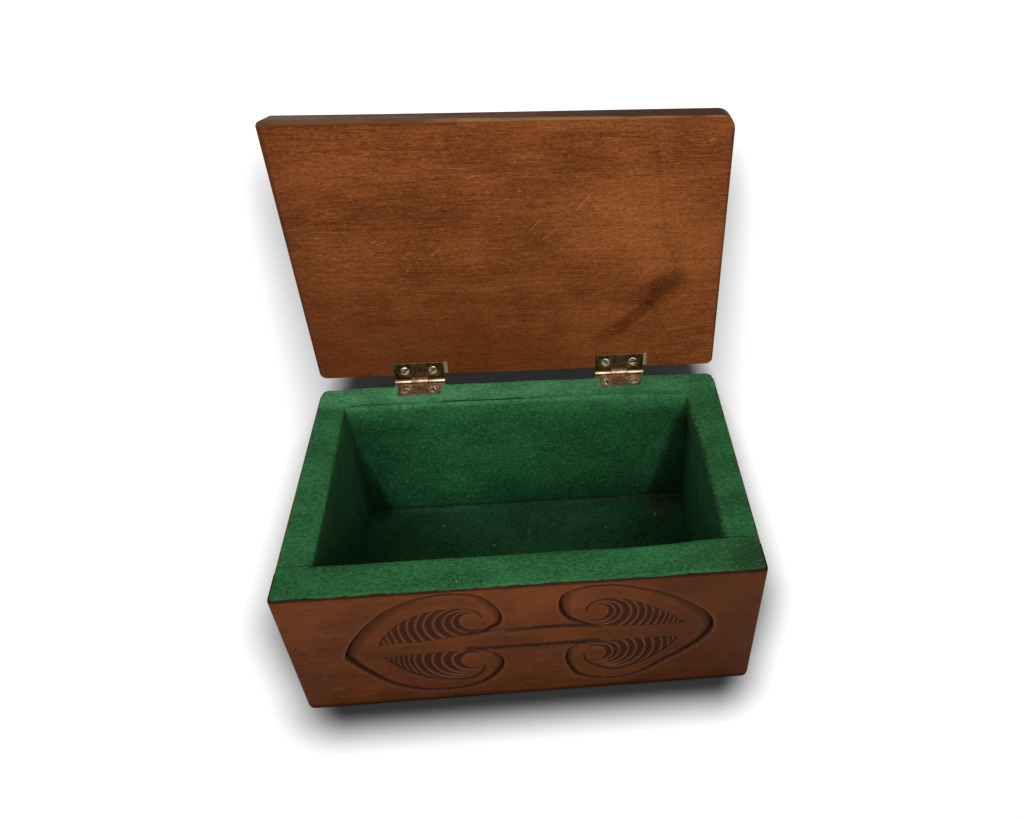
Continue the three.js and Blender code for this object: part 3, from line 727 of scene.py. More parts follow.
def spaced(*stops):
    """Places from stop to stop, each stretch with its own spacing."""
    places = [stops[0]]
    for cell, stop in zip(stops[1::2], stops[2::2]):
        count = max(1, round((stop - places[-1]) / cell))
        places.extend(np.linspace(places[-1], stop, count + 1)[1:])
    return np.array(places)


def laid_grid(name, columns, rows, place):
    """A grid whose crossings are put where place says, from each one's column and row."""
    start_alone()
    bpy.ops.mesh.primitive_grid_add(x_subdivisions=len(columns) - 1, y_subdivisions=len(rows) - 1, size=2)
    sheet = settle(name)
    flat = np.zeros(len(sheet.data.vertices) * 3)
    sheet.data.vertices.foreach_get("co", flat)
    flat = flat.reshape(-1, 3)
    column = np.rint((flat[:, 0] + 1) / 2 * (len(columns) - 1)).astype(int)
    row = np.rint((flat[:, 1] + 1) / 2 * (len(rows) - 1)).astype(int)
    sheet.data.vertices.foreach_set("co", place(column, row).ravel())
    sheet.data.update()
    return sheet, column, row


def spread_out(field, turns):
    """The field with each value shared among its neighbours, a number of times."""
    for _ in range(turns):
        padded = np.pad(field, 1, mode="edge")
        field = (padded[1:-1, :-2] + padded[1:-1, 2:] + padded[:-2, 1:-1] + padded[2:, 1:-1]
                 + 2 * padded[1:-1, 1:-1]) / 6
    return field


def undulation(points, wavelength, seed):
    """A smooth rise and fall over the points, about as high as one."""
    draw = np.random.default_rng(seed)
    total = np.zeros(len(points))
    for _ in range(7):
        way = draw.normal(size=3)
        way *= 2 * math.pi / (np.linalg.norm(way) * wavelength * draw.uniform(0.7, 1.6))
        total += np.sin(points @ way + draw.uniform(0, 2 * math.pi))
    return total / 3


def quarter(radius, count):
    """Places from nought to the radius, spaced as the steps of a quarter round."""
    return [radius * (1 - math.cos(math.pi / 2 * i / count)) for i in range(count + 1)]


straight_half = front_half - front_corner
carve_columns = np.concatenate([
    [-front_half + step for step in quarter(front_corner, 4)],
    spaced(-straight_half, plain_cell, carved_from, front_cell, carved_to, plain_cell, straight_half)[1:],
    [front_half - step for step in quarter(front_corner, 4)[::-1][1:]]])
carve_rows = np.concatenate([
    quarter(foot_rise, 8), spaced(foot_rise, front_cell, front_top - front_arris)[1:],
    [front_top - step for step in quarter(front_arris, 4)[::-1][1:]]])
carved = {}


def place_front(column, row):
    """The front's outer face: rounded at its ends, its foot and its top, and carved. The flat is a
    little uneven, and the cuts' floors show the gouge's chatter."""
    z = carve_rows[row].copy()
    span = np.array([front_half - round_inset(foot_rise, height) for height in carve_rows])
    x = carve_columns[column] * span[row] / front_half
    from_side = span[row] - np.abs(x)
    set_back = np.array([round_inset(front_corner, reach) for reach in from_side])
    rounded = [
        round_inset(foot_run, height) + round_inset(front_arris, front_top - height)
        for height in carve_rows]
    set_back += np.array(rounded)[row]
    carved["depth"], parts = carve(x, z)
    carved.update(parts)
    points = np.column_stack([x, np.zeros(x.size), z])
    hand = 0.05 * undulation(points, 34, 3) * ease(from_side, 0, 6) + 0.025 * undulation(points, 7, 4)
    chatter = 0.07 * undulation(points, 4.5, 5) * np.clip(carved["depth"], 0, 1)
    hand = hand * ease(z, 0, 4) * ease(from_side, 0, 2)
    y = front_face + set_back + carved["depth"] + hand + chatter
    y = np.maximum(y, front_face)
    return np.column_stack([x, y, z]) * mm


carved_front, column, row = laid_grid("carved_front", carve_columns, carve_rows, place_front)
depth_field = np.zeros((len(carve_rows), len(carve_columns)))
depth_field[row, column] = carved["depth"]
hollow = (depth_field - spread_out(depth_field, hollow_turns))[row, column]
valley = np.maximum(np.maximum(hollow / 0.4, 0.75 * carved["scooped"]), carved["wall_shade"])
for name, value in (
        ("cut", np.clip(carved["depth"] / 2.2, 0, 1)),
        ("valley", np.clip(valley, 0, 1)),
        ("glint", carved["glint"]),
        ("crest", np.clip(np.maximum(-hollow / 0.9, carved["crest"]), 0, 1))):
    attribute = carved_front.data.attributes.new(name, "FLOAT", "POINT")
    attribute.data.foreach_set("value", value.astype(np.float32))
bpy.ops.object.mode_set(mode="EDIT")
bpy.ops.mesh.select_mode(type="EDGE")
bpy.ops.mesh.select_all(action="SELECT")
bpy.ops.mesh.region_to_loop()
draw_out((0, front_thick, 0), (1, 0, 1), (0, -half_depth + front_thick, 0))
bpy.ops.mesh.edge_face_add()
face_outwards()
smooth(carved_front, 70)


def painted(coat, name):
    """What the mesh carries under this name, for its material."""
    return add_node(
        coat["tree"], "ShaderNodeAttribute", attribute_name=name, attribute_type="GEOMETRY").outputs["Fac"]


def zone(spot, *spans):
    """A grade along an axis for each span, multiplied: high in one region and fading at its sides."""
    return times(*(grade(spot[axis], *span) for axis, *span in spans))


# Smudged wax, flecks, darker dabs near the left, and a painted sheen that makes the upper half paler
front = start_wood(
    "carved_front_wood", (0.047, 0.0125, 0.004, 1), (0.112, 0.0315, 0.0098, 1), shift=(0.05, 0.4, 0.27))
spot = axes(front["place"])
smudges = grade(noise(front["place"], (70, 100, 110), 4.0, 0.65), 0.52, 0.68)
stain(front, smudges, 0.5, (0.038, 0.012, 0.006, 1))
flecks = noise(front["place"], (260, 400, 380), 3.0, 0.6)
flecks = times(grade(flecks, 0.55, 0.7), grade(spot["X"], -0.02, -0.06, 0.3, 1.0))
stain(front, flecks, 0.45, (0.035, 0.009, 0.004, 1))
dabs = grade(noise(front["place"], (230, 230, 330), 2.0, 0.5, shift=(3, 1, 4)), 0.56, 0.66)
near_left = zone(spot, ("X", -0.06, -0.072), ("Z", 0.022, 0.034), ("Z", 0.07, 0.06))
stain(front, times(dabs, near_left), 0.5, (0.03, 0.007, 0.004, 1))
# Painted sheen, paler towards the top, broken up by the figure's clouds
handling_and_sheen = times(
    grade(spot["Z"], 0.025, 0.078), maths("MULTIPLY_ADD", front["figure"]["Clouds"], 0.6, 0.4))
stain(front, handling_and_sheen, 0.6, (0.17, 0.049, 0.0155, 1))
to_right = grade(spot["X"], 0.015, 0.08)
stain(front, to_right, 0.5, (0.035, 0.0115, 0.004, 1))

# Painted shade darkens the cuts where they are deep, along their walls and in hollows
cut = maths("POWER", painted(front, "cut"), 0.6)
stain(front, cut, 0.8, (0.03, 0.012, 0.0065, 1))
stain(front, painted(front, "valley"), 0.86, (0.02, 0.0055, 0.0025, 1))
# Crests rubbed pale, which also serves as a painted highlight, and a painted gleam along the stem
stain(front, painted(front, "crest"), 0.5, (0.18, 0.08, 0.045, 1))
stain(front, painted(front, "glint"), 0.3, (0.2, 0.12, 0.09, 1))
stain(front, body_wear(front, 1.6 * mm), 0.5, (0.02, 0.008, 0.004, 1))
# Painted shade under the felt's edge along the top, with dirt there, and a painted contact shadow along the
# foot
shade_and_grime = maths("MAXIMUM", grade(spot["Z"], 0.0782, 0.0789, 0.0, 0.8), grade(spot["Z"], 0.006, 0.0015))
stain(front, shade_and_grime, 0.9, (0.012, 0.005, 0.003, 1))
carved_front.data.materials.append(wax_wood(front, 0.025))
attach(carved_front, "box")
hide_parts("front_board")


# Felt lining. Green wool felt, cut flat into four strips and a floor piece. Each strip is glued
# over the rim, rolled over its inner edge and taken down the wall to the floor.
felt_thick = 1.5
felt_gap = 0.05
felt_top = wall_height / mm + felt_thick
felt_floor = base_thick / mm + felt_gap + felt_thick
felt_roll = 2.0
felt_cell, roll_cell, wall_cell, floor_cell = 1.3, 0.52, 1.8, 2.0
felt_edge_round = 0.45
shortest_tab = 0.3
felt_from_corner = 0.9 * mm


def soften(piece, width, angle):
    """Rounds the piece's edges that turn by more than the angle."""
    soft = piece.modifiers.new("soft", "BEVEL")
    soft.width = width
    soft.segments = 2
    soft.limit_method = "ANGLE"
    soft.angle_limit = math.radians(angle)
    start_alone(piece)
    bpy.ops.object.modifier_apply(modifier="soft")


def finish_felt(piece, above):
    """Gives a laid sheet of felt its thickness, behind the side that shows, and soft cut edges. The
    side that shows looks up wherever the sheet lies above this height."""
    start_alone(piece)
    bpy.ops.object.mode_set(mode="EDIT")
    bpy.ops.mesh.select_all(action="SELECT")
    form = bmesh.from_edit_mesh(piece.data)
    facing = sum(f.normal.z * f.calc_area() for f in form.faces if f.calc_center_median().z > above)
    if facing < 0:
        bpy.ops.mesh.flip_normals()
    bpy.ops.object.mode_set(mode="OBJECT")
    thick = piece.modifiers.new("thickness", "SOLIDIFY")
    thick.thickness = felt_thick * mm
    thick.offset = -1
    bpy.ops.object.modifier_apply(modifier="thickness")
    soften(piece, felt_edge_round * mm, 55)
    bpy.ops.object.shade_smooth()


def trim_corners(piece):
    """Draws the felt in where it would pass over the rounded upright corners of the box."""
    for vertex in piece.data.vertices:
        radius = body_corners[2] if vertex.co.y > 0 else body_corners[0]
        corner = Vector((half_width - radius, half_depth - radius))
        beyond = Vector((abs(vertex.co.x), abs(vertex.co.y))) - corner
        if min(beyond) > 0 and beyond.length > radius - felt_from_corner:
            kept = corner + beyond.normalized() * (radius - felt_from_corner)
            vertex.co.x = math.copysign(kept.x, vertex.co.x)
            vertex.co.y = math.copysign(kept.y, vertex.co.y)


def felt_strip(name, wall, set_in, rim_span, lining_span, tab_reach, seed, holes=()):
    """A strip folded over a wall. It is drawn with the wall's outer face at zero, the inside of the
    box at plus Y, and the strip's length along X. Past the lining's ends it lies flat as tabs."""
    inner = wall + felt_gap + felt_thick
    flat_rim = inner - felt_roll - set_in
    rolled = math.pi / 2 * felt_roll
    length = flat_rim + rolled + felt_top - felt_roll - felt_floor - felt_gap
    stops = [lining_span[0], felt_cell, lining_span[1]]
    for x0, x1, _ in holes:
        stops[-1:-1] = [x0, felt_cell, x1, felt_cell]
    columns = spaced(*stops)
    hole_row = holes[0][2] - set_in if holes else flat_rim / 2
    rows = spaced(
        0, felt_cell, hole_row, felt_cell, flat_rim, roll_cell, flat_rim + rolled, wall_cell, length)

    def fold(across):
        """Inward distance and height of the strip's outer face, and which way that face looks."""
        turn = np.clip((across - flat_rim) / felt_roll, 0, math.pi / 2)
        inward = set_in + np.minimum(across, flat_rim) + felt_roll * np.sin(turn)
        height = felt_top - felt_roll * (1 - np.cos(turn)) - np.maximum(across - flat_rim - rolled, 0)
        return inward, height, np.sin(turn), np.cos(turn)

    def lay(along, across, folded):
        """Places of the felt's points, folded or flat: it waves a little, its outer edge is ragged,
        and so is the edge of a hole."""
        if folded:
            inward, height, out_y, out_z = fold(across)
        else:
            inward, height, out_y, out_z = set_in + across, np.full(across.shape, felt_top), 0, 1
        points = np.column_stack([along, inward, height])
        wave = undulation(points, 26, seed) * 0.16 + undulation(points, 6, seed + 1) * 0.07
        push = np.minimum(wave, 0.1) - 0.08
        points[:, 1] += push * out_y
        points[:, 2] += push * out_z
        ragged = 0.16 * undulation(points, 9, seed + 2) + 0.08 * undulation(points, 2.7, seed + 3)
        points[:, 1] += (ragged - 0.1) * ease(1.2 - across, 0, 1.2)
        for x0, x1, reach in holes:
            near = ease(1.5 - np.maximum(np.abs(along - (x0 + x1) / 2) - (x1 - x0) / 2, 0), 0, 1.5)
            near *= ease(1.5 - np.abs(points[:, 1] - reach), 0, 1.5)
            points[:, 1] += near * np.maximum(0.45 * undulation(points, 4, seed + 5) + 0.2, -0.1)
        return points * mm

    strip, _, _ = laid_grid(
        name, columns, rows, lambda column, row: lay(columns[column], rows[row], True))
    if holes:
        choose(strip, "FACE", lambda f: any(
            x0 * mm < f.calc_center_median().x < x1 * mm and f.calc_center_median().y < reach * mm
            and f.calc_center_median().z > (felt_top - 1) * mm for x0, x1, reach in holes))
        bpy.ops.mesh.delete(type="FACE")
        bpy.ops.object.mode_set(mode="OBJECT")
    tab_rows = np.append(rows[rows < flat_rim + 0.01], spaced(flat_rim, felt_cell, tab_reach - set_in)[1:])
    tabs = []
    for start, end in ((rim_span[0], lining_span[0]), (lining_span[1], rim_span[1])):
        if end - start > shortest_tab:
            tab_columns = spaced(start, felt_cell, end)
            tabs.append(laid_grid(
                "tab", tab_columns, tab_rows,
                lambda column, row: lay(tab_columns[column], tab_rows[row], False))[0])
    if tabs:
        start_alone(strip)
        for tab in tabs:
            tab.select_set(True)
        bpy.ops.object.join()
        bpy.ops.object.mode_set(mode="EDIT")
        bpy.ops.mesh.select_all(action="SELECT")
        bpy.ops.mesh.remove_doubles(threshold=0.02 * mm)
        bpy.ops.object.mode_set(mode="OBJECT")
    return strip, length


strips = {}
strips["front"] = felt_strip(
    "front_lining", front_thick / mm, set_in=0.7, rim_span=(-98.9, 98.9), lining_span=(-86.2, 86.2),
    tab_reach=15.3, seed=11)
strips["left"] = felt_strip(
    "left_lining", side_thick / mm, set_in=1.2, rim_span=(-63.6, 49.35), lining_span=(-50.4, 49.35),
    tab_reach=14.8, seed=21)
strips["right"] = felt_strip(
    "right_lining", side_thick / mm, set_in=1.1, rim_span=(-49.35, 64.1), lining_span=(-49.35, 50.4),
    tab_reach=14.8, seed=31)

# The back strip has a hole for each hinge's leaf, open at its outer edge
hinge_x = 51
hole_half = 10.6
hole_reach = 7.4
back_holes = [(side * hinge_x - hole_half, side * hinge_x + hole_half, hole_reach) for side in (-1, 1)]
strips["back"] = felt_strip(
    "back_lining", back_thick / mm, set_in=0.9, rim_span=(-87.9, 87.9), lining_span=(-84.7, 86),
    tab_reach=14.4, seed=41, holes=back_holes)

# Each strip is turned to its wall, and hangs a little slack into the box near its fold. The back
# strip and the side ones overlap, and each is pressed down past the seam between them.
back_seam_y, back_seam_x, pressed = 50.6, 86.9, 0.6
turns = {
    "front": (0, (0, -half_depth)), "left": (-90, (-half_width, 0)),
    "right": (90, (half_width, 0)), "back": (180, (0, half_depth))}
for side, (strip, length) in strips.items():
    angle, foot = turns[side]
    strip.data.transform(
        Matrix.Translation((*foot, 0)) @ Matrix.Rotation(math.radians(angle), 4, "Z"))
    for vertex in strip.data.vertices:
        x, y, z = vertex.co / mm
        by_front = ease(y, -59, -51.5) * ease(-y, 34, 48)
        by_front *= 1.1 + 1.6 * ease(x, 50, 86) * (1 - 0.5 * ease(x, 86, 99))
        by_back = ease(y, 43, 48.5) * ease(-y, -59, -52)
        by_back *= 0.2 + 1.3 * ease(-x, 40, 84) + 2.4 * ease(x, 40, 84)
        by_left = ease(-x, 80, 84.5) * ease(x, -94, -87) * 1.2 * ease(y, -25, 45)
        by_right = ease(x, 80, 84.5) * ease(-x, -94, -87) * 1.7 * ease(y, 0, 46)
        along_side = by_left + by_right if side in ("left", "right") and y < 50.5 else 0
        vertex.co.y += (by_front * (side != "back") - by_back * (side == "back")) * ease(z, 58, 76) * mm
        vertex.co.x -= along_side * ease(z, 58, 76) * mm
        past_seam = abs(x) - back_seam_x
        if y > back_seam_y and (past_seam > 0 if side == "back" else past_seam < 0):
            vertex.co.z -= pressed * ease(abs(past_seam), 0, 1) * mm
    trim_corners(strip)
    finish_felt(strip, wall_height)

floor_columns = spaced(-86.2, floor_cell, 86.2)
floor_rows = spaced(-50.9, floor_cell, 49.3)


def place_floor_felt(column, row):
    """Places of the floor felt's points, which wave a little."""
    points = np.column_stack([floor_columns[column], floor_rows[row], np.full(column.size, felt_floor)])
    points[:, 2] += 0.18 * undulation(points, 24, 51) + 0.08 * undulation(points, 7, 52) - 0.1
    return points * mm


floor_lining, _, _ = laid_grid("floor_lining", floor_columns, floor_rows, place_floor_felt)
finish_felt(floor_lining, 0)

# Felt surface: matted wool with paler and darker flecks, and a few specks of lint
matted_felt, given = start_group(
    "matted_felt", ["Vector"], {}, ["Mottle", "Pale Flecks", "Dark Flecks", "Lint", "Height"])
flat_way = stretch(given["Vector"], (0.55, 1, 1))
coarse = noise(flat_way, 90.0, 3.0, 0.6)
middle = noise(flat_way, 900.0, 2.0, 0.6)
fine = noise(flat_way, 2600.0, 2.0, 0.6)
mottle = maths("MULTIPLY_ADD", coarse, 0.3, times(middle, 0.4))
mottle = maths("MULTIPLY_ADD", fine, 0.3, mottle)
lint_cells = add_node(matted_felt, "ShaderNodeTexVoronoi", {"Vector": given["Vector"], "Scale": 150.0})
lint_tint = axes(lint_cells.outputs["Color"])
lint = times(
    maths("LESS_THAN", lint_cells.outputs["Distance"], 0.055), maths("GREATER_THAN", lint_tint["X"], 0.8))
add_node(matted_felt, "NodeGroupOutput", {
    "Mottle": grade(mottle, 0.38, 0.62),
    "Pale Flecks": grade(noise(given["Vector"], (700, 1500, 1500), 2.0, 0.6, (3, 1, 2)), 0.58, 0.7),
    "Dark Flecks": grade(noise(given["Vector"], (600, 1300, 1300), 2.0, 0.6, (7, 5, 1)), 0.58, 0.72),
    "Lint": lint,
    "Height": maths("MULTIPLY_ADD", middle, 0.5, times(fine, 0.5))})


grubby_patch = (0.0727, 0.0385, 0.0075)
felt_specks = (
    (0.0689, 0.0341, 0.0076, 0.0009), (0.0693, 0.0355, 0.0076, 0.0007), (0.0413, 0.0268, 0.0076, 0.0008),
    (-0.0455, 0.0345, 0.0076, 0.0009), (-0.0185, 0.019, 0.0076, 0.001))


def felt_cloth(name, deep, faded_and_lit, soiled):
    """Green felt, faded and painted lit on the rim. Soiled is how much brown dirt lies in it near the back
    wall.
    """
    cloth = start_material(name)
    place = cloth["place"]
    spot = axes(place)
    matted = use_group(matted_felt, {"Vector": place})
    # The rim is faded, and painted lighter where light falls on it; lower down the colour is deep
    cloth["colour"] = blend(grade(spot["Z"], 0.066, 0.0805), deep, faded_and_lit)
    # Painted sheen on the back rim, strongest towards the left
    back_rim_sheen = zone(spot, ("Y", 0.046, 0.056), ("X", 0.11, -0.03, 0.35, 1.0), ("Z", 0.078, 0.0805))
    stain(cloth, back_rim_sheen, 0.9, (0.086, 0.305, 0.124, 1))
    shade = grade(matted["Mottle"], 0.0, 1.0, 0.6, 1.37, "LINEAR")
    cloth["colour"] = blend(1.0, cloth["colour"], shade, "MULTIPLY")
    # Places that the light hardly reaches
    inside_box = grade(spot["Z"], 0.078, 0.06)
    dim = times(grade(spot["X"], -0.035, -0.085, 0.0, 0.42), inside_box)
    sideways = maths("ABSOLUTE", spot["X"])
    in_corner = maths("MULTIPLY_ADD", spot["Z"], -0.22, sideways)
    in_corner = maths("ADD", in_corner, grade(spot["X"], -0.01, 0.01, -0.003, 0.004))
    in_corner = times(grade(in_corner, 0.0635, 0.0725), grade(spot["Y"], 0.028, 0.046, 0.0, 0.85))
    dim = maths("MAXIMUM", dim, times(in_corner, inside_box))
    on_floor = times(grade(sideways, 0.025, 0.08, 0.0, 0.5), grade(spot["Z"], 0.011, 0.009))
    dim = maths("MAXIMUM", dim, on_floor)
    on_left = zone(spot, ("X", -0.083, -0.0845), ("Z", 0.0805, 0.0797), ("Y", 0.035, -0.02, 0.25, 0.62))
    dim = maths("MAXIMUM", dim, on_left)
    to_the_right = times(grade(spot["X"], -0.03, 0.06, 0.0, 0.22), inside_box)
    dim = maths("MAXIMUM", dim, times(to_the_right, grade(spot["Y"], 0.03, 0.046)))
    # Handled parts of the rim, and its dirty front right corner
    front_left = zone(spot, ("Y", -0.04, -0.05), ("X", -0.04, -0.075, 0.0, 0.2))
    handling_and_sheen = times(
        maths("MAXIMUM", front_left, grade(spot["X"], 0.084, 0.088, 0.0, 0.16)),
        grade(spot["Z"], 0.078, 0.0805))
    stain(cloth, handling_and_sheen, 1.0, (0.003, 0.012, 0.004, 1))
    handling_and_sheen = zone(spot, ("Y", -0.038, -0.062), ("X", 0.06, 0.098))
    stain(cloth, handling_and_sheen, 0.75, (0.016, 0.035, 0.014, 1))
    stain(
        cloth, times(matted["Pale Flecks"], grade(spot["Z"], 0.079, 0.074, 0.45, 0.7)), 1.0,
        (0.085, 0.25, 0.13, 1))
    stain(cloth, matted["Dark Flecks"], 0.6, (0.005, 0.03, 0.01, 1))
    # Painted shade where the light hardly reaches, as gathered above
    stain(cloth, dim, 1.0, (0.003, 0.012, 0.004, 1))
    # Light thrown back onto the lower left of the back wall
    low_left = zone(
        spot, ("X", -0.078, -0.068), ("X", -0.01, -0.04), ("Z", 0.055, 0.02), ("Y", 0.043, 0.046))
    stain(cloth, low_left, 1.0, (1.5, 1.5, 1.5, 1), "MULTIPLY")
    # Brown dirt by the back wall, in one patch and along the fold at the right
    dirt = noise(place, (260, 600, 600), 3.0, 0.6)
    near_wall = zone(spot, ("Y", 0.0455, 0.0488), ("X", -0.045, 0.01, 0.15, 1.0))
    grubby = times(near_wall, grade(dirt, 0.42, 0.6))
    stain(cloth, grubby, soiled, (0.065, 0.055, 0.028, 1))
    from_patch = vector_maths("DISTANCE", place, grubby_patch)
    grubby = times(grade(from_patch, 0.012, 0.003), grade(dirt, 0.38, 0.55))
    stain(cloth, grubby, soiled, (0.04, 0.034, 0.016, 1))
    from_fold = maths("ADD", spot["X"], grade(spot["Y"], 0.0, 0.046, 0.0, 0.0017))
    on_fold = times(
        grade(from_fold, 0.0868, 0.0856), grade(from_fold, 0.0836, 0.0844), grade(spot["Y"], 0.046, 0.042),
        grade(spot["Z"], 0.07, 0.0765), grade(spot["Y"], -0.0495, -0.047))
    grubby = times(on_fold, grade(dirt, 0.4, 0.58))
    stain(cloth, grubby, 0.7, (0.022, 0.022, 0.009, 1))
    # Painted shade in creases along the fold at the back
    crease = zone(spot, ("X", -0.041, -0.037), ("X", 0.004, 0.0))
    short_crease = zone(spot, ("X", -0.05, -0.062, 0.25, 0.6), ("X", -0.0855, -0.083))
    crease = times(
        maths("MAXIMUM", crease, times(short_crease, grade(spot["X"], 0.082, 0.075))),
        grade(spot["Y"], 0.0515, 0.0511), grade(spot["Y"], 0.0502, 0.0506), grade(spot["Z"], 0.076, 0.078))
    stain(cloth, crease, 0.85, (0.004, 0.014, 0.005, 1))
    stain(cloth, matted["Lint"], 0.6, (0.45, 0.5, 0.45, 1))
    # Specks that lie on the floor felt
    for x, y, z, radius in felt_specks:
        from_speck = vector_maths("DISTANCE", place, (x, y, z))
        stain(cloth, grade(from_speck, radius, 0.5 * radius), 1.0, (0.2, 0.24, 0.14, 1))
    bump = add_node(
        cloth["tree"], "ShaderNodeBump", {"Height": matted["Height"], "Distance": 0.0006, "Strength": 0.8})
    return close_material(cloth, {
        "Roughness": 0.95, "Normal": bump.outputs[0], "Specular IOR Level": 0.04, "Sheen Weight": 0.03,
        "Sheen Roughness": 0.4, "Sheen Tint": (0.5, 1, 0.6, 1)})


rim_felt = felt_cloth("green_felt_cloth", (0.013, 0.086, 0.027, 1), (0.027, 0.128, 0.042, 1), 0.0)
soiled_felt = felt_cloth("soiled_felt_cloth", (0.025, 0.1, 0.039, 1), (0.025, 0.1, 0.039, 1), 0.8)

# Each sheet, the solid it stands for, its flat size and the piece it lies on
sheets = (
    (strips["front"][0], "front_felt", (197.8, strips["front"][1]), ["carved_front"]),
    (strips["left"][0], "left_felt", (112.95, strips["left"][1]), ["left_wall"]),
    (strips["right"][0], "right_felt", (113.45, strips["right"][1]), ["right_wall"]),
    (strips["back"][0], "back_felt", (172.4, strips["back"][1]), ["back_wall"]),
    (floor_lining, "floor_felt", (100.2, 172.4), ["base_board"]))
for piece, node, flat, under in sheets:
    piece.data.materials.append(soiled_felt if node == "floor_felt" else rim_felt)
    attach(piece, "box")
    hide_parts(node)


# Lid. One board of orange-brown hardwood, standing open on its hinges. Its upper edges are rounded
# over, and a mortise is cut into its underside for each hinge leaf, a little too long.
pin_y = 68.4 * mm
pin_z = 80.925 * mm
open_angle = 92.3
lid_low = 81.3 * mm
lid_thick = 10 * mm
lid_corners = (2.6 * mm, 6.5 * mm, 3.2 * mm)
lid_upper_round = 1.2 * mm
lid_arris = 0.6 * mm
leaf_thick = 1 * mm
leaf_free_edge = 57.7 * mm
leaf_half = 12.5 * mm
hinges = (("left", -hinge_x * mm), ("right", hinge_x * mm))
mortise_slack = 0.3 * mm
mortise_overrun = 2 * mm
foot_corner, corner_growth = 3, 6
left_overrun = 1.1 * mm
free_end_overrun = 1.3 * mm
back_overrun = 1.1 * mm


def open_lid(piece):
    """Turns what was made on the shut lid round the hinge pins, to where the lid stands open."""
    to_pin = Matrix.Translation((0, pin_y, pin_z))
    piece.data.transform(to_pin @ Matrix.Rotation(math.radians(-open_angle), 4, "X") @ to_pin.inverted())


def cut_away(piece, cutter):
    """Takes the cutter's form out of the piece."""
    cut = piece.modifiers.new("cut", "BOOLEAN")
    cut.object = cutter
    cut.operation = "DIFFERENCE"
    cut.solver = "EXACT"
    start_alone(piece)
    bpy.ops.object.modifier_apply(modifier="cut")
    bpy.data.objects.remove(cutter)


lid_panel = rounded_block(
    "lid_panel", lid_low, lid_low + lid_thick, lid_corners, (lid_arris, lid_arris),
    (lid_upper_round, lid_upper_round))

# The board isn't true: one corner is rounder above, and three of its edges stand out a little
for vertex in lid_panel.data.vertices:
    reach = (half_depth - vertex.co.y) / (2 * half_depth)
    radius = (foot_corner + corner_growth * (vertex.co.z - lid_low) / lid_thick) * mm
    corner = Vector((radius - half_width, radius - half_depth))
    beyond = vertex.co.xy - corner
    if max(beyond) < 0 and beyond.length > radius:
        vertex.co.xy = corner + beyond.normalized() * radius
    if vertex.co.x < -80 * mm:
        vertex.co.x -= left_overrun * reach
    if reach > 0.92:
        vertex.co.y -= free_end_overrun * min(max((60 * mm - vertex.co.x) / (150 * mm), 0), 1)
    if reach < 0.08:
        vertex.co.y += back_overrun * min(max((vertex.co.x - 10 * mm) / (90 * mm), 0), 1)
for _, x in hinges:
    x0, x1 = x - leaf_half - mortise_slack, x + leaf_half + mortise_overrun
    y0, y1 = leaf_free_edge - mortise_slack, half_depth + 2 * mm
    z0, z1 = lid_low - mm, lid_low + leaf_thick + mortise_slack
    cut_away(lid_panel, add_block(
        "mortise", ((x0 + x1) / 2, (y0 + y1) / 2, (z0 + z1) / 2), (x1 - x0, y1 - y0, z1 - z0)))
raw_wood = start_material("raw_wood")
grain = noise(raw_wood["place"], (200, 1500, 1500))
raw_wood["colour"] = blend(grain, (0.2, 0.1, 0.06, 1), (0.45, 0.25, 0.17, 1))
close_material(raw_wood, {"Roughness": 0.8})
for face in lid_panel.data.polygons:
    at, facing = face.center, face.normal
    in_mortise = lid_low + 0.05 * mm < at.z < lid_low + leaf_thick + 1.01 * mortise_slack
    in_mortise = in_mortise and at.y > leaf_free_edge - 1.01 * mortise_slack
    on_end = facing.y > 0.9 and at.y < half_depth - mm
    on_side = abs(facing.x) > 0.99 and abs(at.x) < half_width - 5 * mm
    if in_mortise and (facing.z < -0.9 or on_end or on_side):
        face.material_index = 1
smooth(lid_panel)
open_lid(lid_panel)

# Stroke mark: one along a straight stroke drawn on the open lid's face, with soft, wavering sides
stroke_mark, given = start_group(
    "stroke_mark", ["Vector", "Start", "End"], {"Half Width": 0.001, "Softness": 0.001, "Waver": 0.001},
    ["Mark", "Along"])
waver = add_node(
    stroke_mark, "ShaderNodeTexNoise", {"Vector": given["Vector"], "Scale": 260.0, "Detail": 3.0})
waver = vector_maths("SUBTRACT", waver.outputs["Color"], (0.5, 0.5, 0.5))
spot = vector_maths("ADD", given["Vector"], vector_maths("SCALE", waver, given["Waver"]))
reach = vector_maths("SUBTRACT", vector_maths("MULTIPLY", spot, (1, 0, 1)), given["Start"])
run = vector_maths("SUBTRACT", given["End"], given["Start"])
along = maths(
    "DIVIDE", vector_maths("DOT_PRODUCT", reach, run), vector_maths("DOT_PRODUCT", run, run), clamp=True)
apart = vector_maths("DISTANCE", reach, vector_maths("SCALE", run, along))
share = maths("DIVIDE", maths("SUBTRACT", apart, given["Half Width"]), given["Softness"], clamp=True)
add_node(stroke_mark, "NodeGroupOutput", {"Mark": grade(share, 0.0, 1.0, 1.0, 0.0), "Along": along})

lid = start_wood(
    "lid_wood_finish", (0.11, 0.028, 0.0077, 1), (0.262, 0.0755, 0.0205, 1), shift=(0.61, 0.13, 0.9))


def stroke(start, end, half_width, softness, waver, fade):
    """A mark between two places on the open lid's inner face, given in millimetres."""
    marked = use_group(stroke_mark, {
        "Vector": lid["place"], "Start": (start[0] * mm, 0, start[1] * mm),
        "End": (end[0] * mm, 0, end[1] * mm), "Half Width": half_width * mm,
        "Softness": softness * mm, "Waver": waver * mm})
    return times(marked["Mark"], maths("MULTIPLY_ADD", marked["Along"], -fade, 1.0))


warm_wood = (0.31, 0.1, 0.025, 1)
dark_heart = (0.06, 0.0145, 0.0035, 1)
thin_shade = (0.075, 0.02, 0.006, 1)
ink = (0.03, 0.012, 0.006, 1)
bare = (0.4, 0.175, 0.065, 1)

